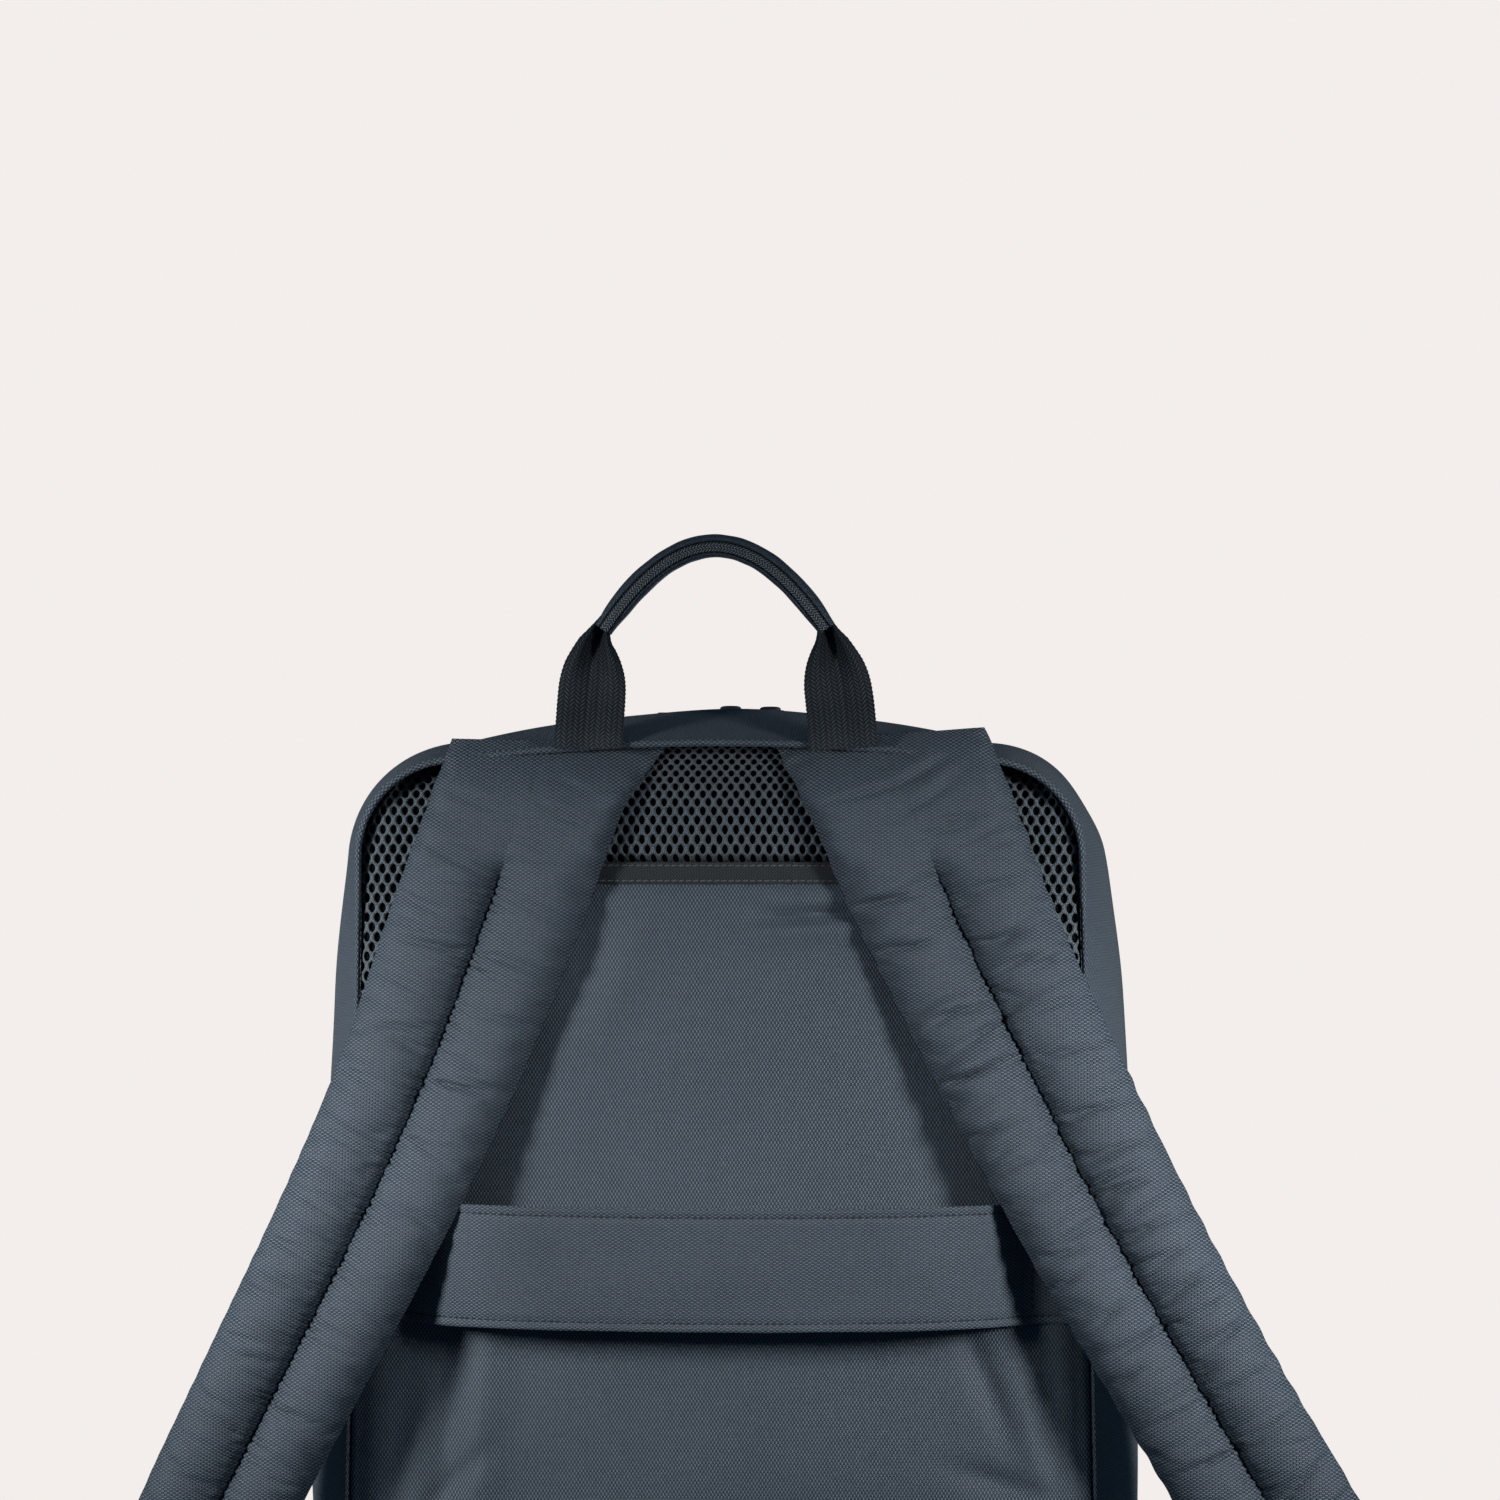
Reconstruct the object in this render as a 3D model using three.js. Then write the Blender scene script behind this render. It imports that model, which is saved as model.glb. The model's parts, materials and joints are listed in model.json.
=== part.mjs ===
// Laptop backpack standing on its base, with the wearer's side facing -Y.
// Units are millimetres: X runs across the back, Y from the wearer's side to the front, Z up.
// The origin is the middle of the base panel's underside.
import * as THREE from "three";

const { lerp, clamp, smoothstep, degToRad } = THREE.MathUtils;

// Cloth thickness, the clearance between neighbours, and how far a panel sits inside the gusset's seam line.
const CLOTH = 2;
const GAP = 0.3;
const EASE = CLOTH + GAP;

// The hollow body: its seam outline from behind, and its depth.
const BODY = {
  topSeam: 428.4,
  topDrop: 6.4,
  topHalf: 100,
  cornerRadius: 38,
  baseHalf: 146,
  hem: 2.8,
  hemRadius: 14,
  baseCorner: 2,
  backY: -66,
  frontLow: 70,
  frontTop: 46,
  leanFrom: 190,
  frontCrown: 11,
};
const SHOULDER = BODY.topSeam - BODY.topDrop - BODY.cornerRadius;
const SHOULDER_HALF = BODY.topHalf + BODY.cornerRadius;

// How far the gusset swells beyond its two seams, by height on the sides and at the middle of the top.
const TOP_SWELL = 12;
const SIDE_SWELL = [
  { z: 0, swell: 2 },
  { z: 40, swell: 10 },
  { z: 133, swell: 16 },
  { z: 240, swell: 14.5 },
  { z: 331, swell: 11 },
  { z: 384, swell: 6.5 },
  { z: 422, swell: 5 },
];

// The padded back: padding depth, rolled edges, and the seam where the mesh yoke meets the woven panel.
const PAD = { inner: 3.5, puff: 5, edgeRadius: 16, seamShare: 0.45 };
const YOKE = { seam: 378.4, drop: 84, flatHalf: 48, tapeWidth: 8.4, tapeThick: 1.2, tapeLift: 0.9 };

// Folds of the woven back panel: centre, half length along the fold, half width across it, turn and depth.
const BACK_FOLDS = [
  { x: 34, z: 360, along: 26, across: 9, degrees: 2, depth: 1.6 },
  { x: -48, z: 345, along: 26, across: 11, degrees: 68, depth: 2 },
  { x: -99, z: 168, along: 40, across: 11, degrees: 84, depth: 2.6 },
  { x: -124, z: 158, along: 34, across: 10, degrees: 78, depth: 1.8 },
  { x: 101, z: 165, along: 26, across: 11, degrees: 58, depth: 2.6 },
  { x: 120, z: 190, along: 30, across: 10, degrees: 70, depth: 1.8 },
];

// The luggage band: height range, and its inner face's distance from the wall across half its length.
const BAND = { low: 208.5, high: 254.5 };
const BAND_COURSE = [
  { x: 0, y: -97.5 },
  { x: 62, y: -97.5 },
  { x: 76, y: -96.8 },
  { x: 87, y: -91.5 },
  { x: 110, y: -74.5 },
  { x: 119, y: -71.6 },
  { x: 132, y: -71.6 },
];

// The padded shoulder straps from end to seam: edges measured out from the middle, underside and thickness.
const STRAP_SECTION = [
  { across: -1, height: 0.35 },
  { across: -0.84, height: 0.8 },
  { across: -0.44, height: 1 },
  { across: 0, height: 0.74 },
  { across: 0.44, height: 1 },
  { across: 0.84, height: 0.8 },
  { across: 1, height: 0.35 },
];
const STRAP_DEPTH = [
  { z: 68.4, back: -93.5, thick: 6 },
  { z: 85, back: -93, thick: 10.5 },
  { z: 115, back: -94.5, thick: 12 },
  { z: 165, back: -96, thick: 12 },
  { z: 225, back: -93, thick: 12 },
  { z: 280, back: -83.5, thick: 12 },
  { z: 335, back: -75.5, thick: 12 },
  { z: 388, back: -72.4, thick: 11 },
  { z: 412, back: -72.4, thick: 8.5 },
  { z: 428.4, back: -68.8, thick: 3 },
];
const STRAP_EDGES = {
  left: [
    { z: 68.4, outer: 230, inner: 191 },
    { z: 85, outer: 234, inner: 182 },
    { z: 110, outer: 229, inner: 171 },
    { z: 143, outer: 216.9, inner: 154.5 },
    { z: 194, outer: 193.1, inner: 127.3 },
    { z: 251, outer: 166.6, inner: 97.5 },
    { z: 308, outer: 143.1, inner: 71.8 },
    { z: 362, outer: 125.3, inner: 50.6 },
    { z: 405, outer: 110.2, inner: 34.8 },
    { z: 428.4, outer: 101.7, inner: 20.5 },
  ],
  right: [
    { z: 68.4, outer: 259, inner: 220 },
    { z: 85, outer: 263, inner: 205 },
    { z: 110, outer: 257, inner: 190 },
    { z: 143, outer: 241.7, inner: 172.2 },
    { z: 194, outer: 211.8, inner: 141.9 },
    { z: 251, outer: 180.7, inner: 108.7 },
    { z: 308, outer: 152.6, inner: 78.5 },
    { z: 362, outer: 128.2, inner: 51.2 },
    { z: 405, outer: 111.8, inner: 32.3 },
    { z: 428.4, outer: 101.7, inner: 20 },
  ],
};

// The ladder lock under each padded strap, given by its bars and slots from the top down.
const LOCK = { y: -97.5, thick: 5, half: 17, slotHalf: 13.6, top: 68, bar: 5, midBar: 6, slot: 7, corner: 4 };
LOCK.bottom = LOCK.top - 2 * LOCK.bar - LOCK.midBar - 2 * LOCK.slot;

// The adjusting webbing: share of the way from the tab out to the lock, and which way its width points.
const WEBBING = { width: 25, thick: 1.6 };
const WEBBING_COURSE = [
  { share: 0, y: -76, z: 30.6, wideX: 0, wideY: 0, wideZ: 1 },
  { share: 0.14, y: -77.6, z: 29.6, wideX: 0, wideY: -0.1, wideZ: 1 },
  { share: 0.36, y: -81.5, z: 22, wideX: 0, wideY: -0.6, wideZ: 0.8 },
  { share: 0.64, y: -86, z: 15.5, wideX: 0.1, wideY: -0.95, wideZ: 0.35 },
  { share: 0.88, y: -90, z: 19, wideX: 0.5, wideY: -0.86, wideZ: 0.1 },
  { share: 1, y: -92.8, z: 32, wideX: 1, wideY: 0, wideZ: 0 },
  { share: 1, y: -93.3, z: 44, wideX: 1, wideY: 0, wideZ: 0 },
  { share: 1, y: -93.3, z: 53, wideX: 1, wideY: 0, wideZ: 0 },
  { share: 1, y: -94, z: 58, wideX: 1, wideY: 0, wideZ: 0 },
  { share: 1, y: -97.5, z: 59.6, wideX: 1, wideY: 0, wideZ: 0 },
  { share: 1, y: -101, z: 58, wideX: 1, wideY: 0, wideZ: 0 },
  { share: 1, y: -101.7, z: 53, wideX: 1, wideY: 0, wideZ: 0 },
  { share: 1, y: -101.8, z: 42, wideX: 1, wideY: 0, wideZ: 0 },
  { share: 1, y: -102.8, z: 22, wideX: 1, wideY: 0, wideZ: 0 },
];

// The doubled cloth tabs that hold the webbing in the lower side seams, from the seam out to the tip.
const TAB = { thick: 3, webbingGap: 2 };
const TAB_COURSE = [
  { x: 143.4, y: -67.9, z: 36, half: 22 },
  { x: 152, y: -70.4, z: 34, half: 18 },
  { x: 164, y: -75.6, z: 31, half: 13.2 },
];

// The haul handle: the grip is a parabola over flat webbing ends that are gathered into it.
const HANDLE = { top: 502.4, rise: 33.2, halfSpan: 43.5, y: -67.6, grip: 8, gripHigh: 4.4, wrap: 1.6 };
const HANDLE_ENDS = [
  { x: 47.6, z: 428.9, half: 13.2, deep: 1.1 },
  { x: 47.4, z: 446, half: 13.2, deep: 1.1 },
  { x: 46.8, z: 456, half: 11.2, deep: 1.6 },
  { x: 45.2, z: 464, half: 6.4, deep: 2.6 },
];
const HANDLE_CORE = { half: 1.7, deep: 5.2 };
const GRIP_SLIT = { from: 12, to: 320, squareness: 0.55 };

// The main zip: its place in the gusset's depth, where it starts, and its coil and sliders.
const ZIP = { centre: 0.57, half: 11, from: 130, recess: 2.4, tape: 1.4, coilHalf: 3, coilHigh: 1.2 };
const SLIDERS = [
  { name: "zip_slider_left", x: 0.5, turn: 180 },
  { name: "zip_slider_right", x: 16, turn: 0 },
];
const SLIDER = { half: 4, length: 11, thick: 2, pullHalf: 3, pullLength: 26, lift: 0.6 };

// Steps of the faceted walls.
const STEPS = { hem: 3, side: 9, corner: 8, top: 10, panel: 16, panelUp: 17, yokeUp: 10, strap: 22 };

// Reads one column of a table at a value of its key column, on a smooth curve through the rows.
function read(rows, key, column, at) {
  const last = rows.length - 1;
  const above = rows.findIndex((row) => row[key] > at);
  const i = above < 0 ? last - 1 : Math.max(above - 1, 0);
  const slope = (k) => {
    const before = rows[Math.max(k - 1, 0)];
    const after = rows[Math.min(k + 1, last)];
    return (after[column] - before[column]) / (after[key] - before[key]);
  };
  const span = rows[i + 1][key] - rows[i][key];
  const s = clamp((at - rows[i][key]) / span, 0, 1);
  const start = rows[i][column] * (1 + 2 * s) * (1 - s) ** 2 + slope(i) * span * s * (1 - s) ** 2;
  const end = rows[i + 1][column] * (3 - 2 * s) * s ** 2 - slope(i + 1) * span * (1 - s) * s ** 2;
  return start + end;
}

// How far the rounded bottom edge draws a wall in at height z, for an outline already drawn in by inset.
function hemInset(z, inset = 0) {
  const radius = BODY.hemRadius - inset;
  const below = clamp(BODY.hemRadius - z, 0, radius);
  return radius - Math.sqrt(radius ** 2 - below ** 2);
}

// Half the width of the seam outline at height z, drawn in by inset.
function seamHalf(z, inset = 0) {
  const radius = BODY.cornerRadius - inset;
  const above = clamp(z - SHOULDER, 0, radius);
  const corner = radius - Math.sqrt(radius ** 2 - above ** 2);
  const side = lerp(BODY.baseHalf, SHOULDER_HALF, clamp(z / SHOULDER, 0, 1));
  return side - inset - corner - hemInset(z, inset);
}

// Height of the top seam at x: a shallow arch between the two corners.
function topSeam(x) {
  return BODY.topSeam - BODY.topDrop * (x / BODY.topHalf) ** 2;
}

function backSeam(z) {
  return BODY.backY + hemInset(z);
}

function frontSeam(z) {
  const lean = smoothstep(z, BODY.leanFrom, BODY.topSeam);
  return lerp(BODY.frontLow, BODY.frontTop, lean) - hemInset(z);
}

// The gusset's seam outline, from the left hem over the top to the right hem.
function seamOutline() {
  const heights = [];
  for (let k = 0; k < STEPS.hem; k++) {
    heights.push(lerp(BODY.hem, BODY.hemRadius, k / STEPS.hem));
  }
  for (let k = 0; k < STEPS.side; k++) {
    heights.push(lerp(BODY.hemRadius, SHOULDER, k / STEPS.side));
  }
  for (let k = 0; k < STEPS.corner; k++) {
    heights.push(SHOULDER + BODY.cornerRadius * Math.sin(((k / STEPS.corner) * Math.PI) / 2));
  }
  const left = heights.map((z) => new THREE.Vector2(-seamHalf(z), z));
  const right = heights.map((z) => new THREE.Vector2(seamHalf(z), z)).reverse();
  const top = [];
  for (let k = 0; k <= STEPS.top; k++) {
    const x = lerp(-BODY.topHalf, BODY.topHalf, k / STEPS.top);
    top.push(new THREE.Vector2(x, topSeam(x)));
  }
  return [...left, ...top, ...right];
}
const OUTLINE = seamOutline();
const ZIP_START = OUTLINE.findIndex((point) => point.y > ZIP.from);
const ZIP_END = 0.02;

// The direction out of the bag at each outline point.
const OUTWARD = OUTLINE.map((point, i) => {
  const before = OUTLINE[Math.max(i - 1, 0)];
  const after = OUTLINE[Math.min(i + 1, OUTLINE.length - 1)];
  const run = after.clone().sub(before).normalize();
  return new THREE.Vector2(-run.y, run.x);
});

// How far the gusset swells at an outline point, at the middle of its depth.
function swellAt(point) {
  if (Math.abs(point.x) < BODY.topHalf) {
    const corner = SIDE_SWELL[SIDE_SWELL.length - 1].swell;
    return lerp(TOP_SWELL, corner, (point.x / BODY.topHalf) ** 2);
  }
  return read(SIDE_SWELL, "z", "swell", point.y);
}

// A point of the gusset: place along the outline, share of the depth, and distance sunk below its outer face.
function gussetPoint(place, depth, sunk) {
  const i = Math.min(Math.floor(place), OUTLINE.length - 2);
  const at = OUTLINE[i].clone().lerp(OUTLINE[i + 1], place - i);
  const out = OUTWARD[i].clone().lerp(OUTWARD[i + 1], place - i);
  const swell = lerp(swellAt(OUTLINE[i]), swellAt(OUTLINE[i + 1]), place - i);
  at.addScaledVector(out, swell * 4 * depth * (1 - depth) - sunk);
  const seam = lerp(OUTLINE[i].y, OUTLINE[i + 1].y, place - i);
  return new THREE.Vector3(at.x, lerp(backSeam(seam), frontSeam(seam), depth), at.y);
}

// The share of the gusset's depth that lies offset millimetres in front of the zip's middle.
function zipDepth(place, offset) {
  const z = OUTLINE[Math.round(place)].y;
  return ZIP.centre + offset / (frontSeam(z) - backSeam(z));
}

// A closed wall between two surfaces on one grid: outer and inner give their points, kept leaves cells out.
function wall(columns, rows, outer, inner, kept = () => true) {
  const positions = [];
  for (let i = 0; i <= columns; i++) {
    for (let j = 0; j <= rows; j++) {
      positions.push(...outer(i, j).toArray(), ...inner(i, j).toArray());
    }
  }
  const at = (i, j, face) => 2 * (i * (rows + 1) + j) + face;
  const inside = (i, j) => i >= 0 && j >= 0 && i < columns && j < rows && kept(i, j);
  const index = [];
  const quad = (a, b, c, d) => index.push(a, b, c, a, c, d);
  const rim = (i, j, k, l) => quad(at(i, j, 0), at(i, j, 1), at(k, l, 1), at(k, l, 0));
  for (let i = 0; i < columns; i++) {
    for (let j = 0; j < rows; j++) {
      if (!inside(i, j)) continue;
      quad(at(i, j, 0), at(i + 1, j, 0), at(i + 1, j + 1, 0), at(i, j + 1, 0));
      quad(at(i, j, 1), at(i, j + 1, 1), at(i + 1, j + 1, 1), at(i + 1, j, 1));
      if (!inside(i, j - 1)) rim(i, j, i + 1, j);
      if (!inside(i + 1, j)) rim(i + 1, j, i + 1, j + 1);
      if (!inside(i, j + 1)) rim(i + 1, j + 1, i, j + 1);
      if (!inside(i - 1, j)) rim(i, j + 1, i, j);
    }
  }
  const geometry = new THREE.BufferGeometry();
  geometry.setAttribute("position", new THREE.Float32BufferAttribute(positions, 3));
  geometry.setIndex(facingOut(positions, index));
  geometry.computeVertexNormals();
  return geometry;
}

// Turns every triangle over where the closed surface encloses a negative volume.
function facingOut(positions, index) {
  const corner = (k) => new THREE.Vector3().fromArray(positions, 3 * index[k]);
  let volume = 0;
  for (let k = 0; k < index.length; k += 3) {
    volume += corner(k).dot(corner(k + 1).cross(corner(k + 2)));
  }
  return volume < 0 ? index.toReversed() : index;
}

// Evenly spaced shares from 0 to 1, drawn towards both ends so that rolled edges get finer steps.
function edgeShare(k, steps) {
  return 0.5 - 0.5 * Math.cos((Math.PI * k) / steps);
}

// A point of a patch inside the seam outline: u runs from -1 to 1 across, t from the lower to the upper edge.
function patch(u, t, lower, upper) {
  const edge = lerp(lower(1), upper(1), t);
  return { x: u * seamHalf(edge, EASE), z: lerp(lower(u), upper(u), t), half: seamHalf(edge, EASE) };
}

const hemEdge = () => BODY.hem;
const topEdge = (u) => topSeam(u * BODY.topHalf) - EASE;
const yokeLine = (u) => {
  const x = Math.abs(u) * SHOULDER_HALF;
  return YOKE.seam - YOKE.drop * smoothstep(x, YOKE.flatHalf, SHOULDER_HALF);
};

// Height of a padded edge's quarter round at a distance from the seam, from 0 to 1.
function rolled(distance) {
  return Math.sqrt(1 - (1 - clamp(distance / PAD.edgeRadius, 0, 1)) ** 2);
}

// Depth of all folds in a table at one place on the back.
function foldDepth(folds, x, z) {
  return folds.reduce((sum, fold) => {
    const turn = degToRad(fold.degrees);
    const along = (x - fold.x) * Math.cos(turn) + (z - fold.z) * Math.sin(turn);
    const across = (z - fold.z) * Math.cos(turn) - (x - fold.x) * Math.sin(turn);
    return sum + fold.depth * Math.exp(-((along / fold.along) ** 2) - (across / fold.across) ** 2);
  }, 0);
}

// A padded patch of the back, whose edge on the yoke seam stays fuller than its sewn outer edges.
function backPatch(lower, upper, yokeEdge, folds, rows) {
  const place = (i, j) => {
    const u = 2 * edgeShare(i, STEPS.panel) - 1;
    return { u, ...patch(u, edgeShare(j, rows), lower, upper) };
  };
  const outer = (i, j) => {
    const { u, x, z, half } = place(i, j);
    const sides = rolled((1 - Math.abs(u)) * half);
    const far = rolled(yokeEdge === "upper" ? z - lower(u) : upper(u) - z);
    const near = lerp(PAD.seamShare, 1, rolled(yokeEdge === "upper" ? upper(u) - z : z - lower(u)));
    const puff = PAD.puff * Math.min(sides, far, near);
    const sag = Math.min(foldDepth(folds, x, z), puff);
    return new THREE.Vector3(x, backSeam(z) - puff + sag, z);
  };
  const inner = (i, j) => {
    const { x, z } = place(i, j);
    return new THREE.Vector3(x, backSeam(z) + PAD.inner, z);
  };
  return wall(STEPS.panel, rows, outer, inner);
}

// The gusset runs round the sides and top with a slot for the zip.
function gusset() {
  const columns = OUTLINE.length - 1;
  const shares = [0, 0.12, 0.3, "zip back", "zip front", 0.82, 1];
  const share = (i, j) => {
    if (shares[j] === "zip back") return zipDepth(i, -ZIP.half);
    if (shares[j] === "zip front") return zipDepth(i, ZIP.half);
    return shares[j];
  };
  const outer = (i, j) => gussetPoint(i, share(i, j), 0);
  const inner = (i, j) => gussetPoint(i, share(i, j), CLOTH);
  const zipRow = shares.indexOf("zip back");
  const kept = (i, j) => j !== zipRow || i < ZIP_START || i >= columns - ZIP_START;
  return wall(columns, shares.length - 1, outer, inner, kept);
}

// The zip: two tapes and a raised coil, sunk into the gusset's slot.
function mainZip() {
  const first = ZIP_START;
  const last = OUTLINE.length - 1 - ZIP_START;
  const edge = ZIP.half - GAP;
  const offsets = [-edge, -ZIP.coilHalf - GAP, -ZIP.coilHalf, ZIP.coilHalf, ZIP.coilHalf + GAP, edge];
  const place = (i) => clamp(first + i, first + ZIP_END, last - ZIP_END);
  const raised = (j) => (Math.abs(offsets[j]) > ZIP.coilHalf ? 0 : ZIP.coilHigh);
  const outer = (i, j) => gussetPoint(place(i), zipDepth(place(i), offsets[j]), ZIP.recess - raised(j));
  const inner = (i, j) => gussetPoint(place(i), zipDepth(place(i), offsets[j]), ZIP.recess + ZIP.tape);
  return wall(last - first, offsets.length - 1, outer, inner);
}

// A zip slider with its pull lying along the top of the bag.
function zipSlider(slider) {
  const plan = new THREE.Shape();
  plan.moveTo(-SLIDER.length / 2, -SLIDER.half);
  plan.lineTo(SLIDER.length / 2, -SLIDER.pullHalf);
  plan.lineTo(SLIDER.pullLength, -SLIDER.pullHalf);
  plan.absarc(SLIDER.pullLength, 0, SLIDER.pullHalf, -Math.PI / 2, Math.PI / 2, false);
  plan.lineTo(SLIDER.length / 2, SLIDER.pullHalf);
  plan.lineTo(-SLIDER.length / 2, SLIDER.half);
  const geometry = new THREE.ExtrudeGeometry(plan, { depth: SLIDER.thick, bevelEnabled: false, curveSegments: 8 });
  geometry.rotateZ(degToRad(slider.turn));
  const place = STEPS.hem + STEPS.side + STEPS.corner;
  const middle = place + STEPS.top * (0.5 + slider.x / (2 * BODY.topHalf));
  const seat = gussetPoint(middle, ZIP.centre, ZIP.recess - ZIP.coilHigh);
  geometry.translate(seat.x, seat.y, seat.z + SLIDER.lift);
  return geometry;
}

// The front panel is one sheet, crowned between its seams.
function frontPanel() {
  const place = (i, j) => {
    const u = 2 * edgeShare(i, STEPS.panel) - 1;
    const t = edgeShare(j, STEPS.panelUp);
    const crown = BODY.frontCrown * (1 - u ** 4) * (1 - (2 * t - 1) ** 4);
    return { crown, ...patch(u, t, hemEdge, topEdge) };
  };
  const face = (depth) => (i, j) => {
    const { x, z, crown } = place(i, j);
    return new THREE.Vector3(x, frontSeam(z) + crown - depth, z);
  };
  return wall(STEPS.panel, STEPS.panelUp, face(0), face(CLOTH));
}

// The base panel is flat, with its corners just eased.
function basePanel() {
  const half = seamHalf(BODY.hem);
  const back = backSeam(BODY.hem);
  const front = frontSeam(BODY.hem);
  const radius = BODY.baseCorner;
  const plan = new THREE.Shape();
  plan.absarc(half - radius, back + radius, radius, -Math.PI / 2, 0, false);
  plan.absarc(half - radius, front - radius, radius, 0, Math.PI / 2, false);
  plan.absarc(radius - half, front - radius, radius, Math.PI / 2, Math.PI, false);
  plan.absarc(radius - half, back + radius, radius, Math.PI, 1.5 * Math.PI, false);
  const depth = BODY.hem - GAP;
  return new THREE.ExtrudeGeometry(plan, { depth, bevelEnabled: false, curveSegments: 6 });
}

// The tape that covers the yoke seam and dips a little into it, on the same columns as the pads.
function yokeTape() {
  const rows = 2;
  const rest = (i, j) => {
    const u = 2 * edgeShare(i + 1, STEPS.panel) - 1;
    const offset = YOKE.tapeWidth * (j / rows - 0.5);
    const z = yokeLine(u) + offset;
    const puff = PAD.puff * Math.min(
      lerp(PAD.seamShare, 1, rolled(Math.abs(offset))),
      rolled((1 - Math.abs(u)) * SHOULDER_HALF),
    );
    return new THREE.Vector3(u * seamHalf(yokeLine(1), EASE), backSeam(z) - puff - YOKE.tapeLift, z);
  };
  const face = (i, j) => rest(i, j).add(new THREE.Vector3(0, -YOKE.tapeThick, 0));
  return wall(STEPS.panel - 2, rows, face, rest);
}

// The luggage band is sewn flat at both ends and stands off the back between them.
function luggageBand() {
  const xs = BAND_COURSE.map((row) => row.x);
  const course = [...xs.toReversed().map((x) => -x), ...xs.slice(1)];
  const rows = 2;
  const face = (depth) => (i, j) => {
    const y = read(BAND_COURSE, "x", "y", Math.abs(course[i])) - depth;
    return new THREE.Vector3(course[i], y, lerp(BAND.low, BAND.high, j / rows));
  };
  return wall(course.length - 1, rows, face(CLOTH), face(0));
}

// A padded shoulder strap, cut level at each height: two lobes with a stitched groove between them.
function shoulderStrap(side, edges) {
  const low = STRAP_DEPTH[0].z;
  const high = STRAP_DEPTH[STRAP_DEPTH.length - 1].z;
  const columns = STRAP_SECTION.length - 1;
  const place = (i, j) => {
    const z = lerp(low, high, edgeShare(j, STEPS.strap));
    const outer = read(edges, "z", "outer", z);
    const inner = read(edges, "z", "inner", z);
    const x = side * lerp(inner, outer, 0.5 + 0.5 * STRAP_SECTION[i].across);
    return { x, z, back: read(STRAP_DEPTH, "z", "back", z), thick: read(STRAP_DEPTH, "z", "thick", z) };
  };
  const front = (i, j) => {
    const { x, z, back, thick } = place(i, j);
    return new THREE.Vector3(x, back - thick * STRAP_SECTION[i].height, z);
  };
  const under = (i, j) => {
    const { x, z, back } = place(i, j);
    return new THREE.Vector3(x, back, z);
  };
  return wall(columns, STEPS.strap, front, under);
}

// Middle of the padded strap's lower end, where the lock hangs.
function strapEnd(edges) {
  return (edges[0].outer + edges[0].inner) / 2;
}

// A ladder lock: a flat frame with two slots.
function ladderLock(middle) {
  const frame = new THREE.Shape();
  const { half, corner, top, bottom, slotHalf } = LOCK;
  frame.absarc(half - corner, bottom + corner, corner, -Math.PI / 2, 0, false);
  frame.absarc(half - corner, top - corner, corner, 0, Math.PI / 2, false);
  frame.absarc(corner - half, top - corner, corner, Math.PI / 2, Math.PI, false);
  frame.absarc(corner - half, bottom + corner, corner, Math.PI, 1.5 * Math.PI, false);
  for (const low of [bottom + LOCK.bar, top - LOCK.bar - LOCK.slot]) {
    const slot = new THREE.Path();
    slot.moveTo(-slotHalf, low);
    slot.lineTo(-slotHalf, low + LOCK.slot);
    slot.lineTo(slotHalf, low + LOCK.slot);
    slot.lineTo(slotHalf, low);
    frame.holes.push(slot);
  }
  const geometry = new THREE.ExtrudeGeometry(frame, { depth: LOCK.thick, bevelEnabled: false, curveSegments: 4 });
  geometry.rotateX(Math.PI / 2);
  geometry.translate(middle, LOCK.y + LOCK.thick / 2, 0);
  return geometry;
}

// A flat ribbon along stations that give its centre and which way its width points.
function ribbon(stations, width, thick) {
  const rows = 2;
  const tangent = (i) => {
    const before = stations[Math.max(i - 1, 0)].centre;
    const after = stations[Math.min(i + 1, stations.length - 1)].centre;
    return after.clone().sub(before).normalize();
  };
  const face = (side) => (i, j) => {
    const run = tangent(i);
    const wide = stations[i].wide.clone();
    wide.addScaledVector(run, -wide.dot(run)).normalize();
    const up = run.clone().cross(wide);
    const point = stations[i].centre.clone().addScaledVector(wide, width * (j / rows - 0.5));
    return point.addScaledVector(up, (side * thick) / 2);
  };
  return wall(stations.length - 1, rows, face(1), face(-1));
}

// The adjusting webbing: out of its tab, round below the lock, over the lock's middle bar and down as a tail.
function strapWebbing(side, lockX) {
  const tip = TAB_COURSE[TAB_COURSE.length - 1].x + TAB.webbingGap;
  const points = WEBBING_COURSE.map((row) => {
    return new THREE.Vector3(lerp(side * tip, lockX, row.share), row.y, row.z);
  });
  const course = new THREE.CatmullRomCurve3(points, false, "centripetal");
  const stepsPerRow = 2;
  const stations = [];
  for (let k = 0; k <= stepsPerRow * (points.length - 1); k++) {
    const row = Math.min(Math.floor(k / stepsPerRow), points.length - 2);
    const share = k / stepsPerRow - row;
    const wide = (name) => lerp(WEBBING_COURSE[row][name], WEBBING_COURSE[row + 1][name], share);
    stations.push({
      centre: course.getPoint(k / (stepsPerRow * (points.length - 1))),
      wide: new THREE.Vector3(-side * wide("wideX"), wide("wideY"), wide("wideZ")),
    });
  }
  return ribbon(stations, WEBBING.width, WEBBING.thick);
}

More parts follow.
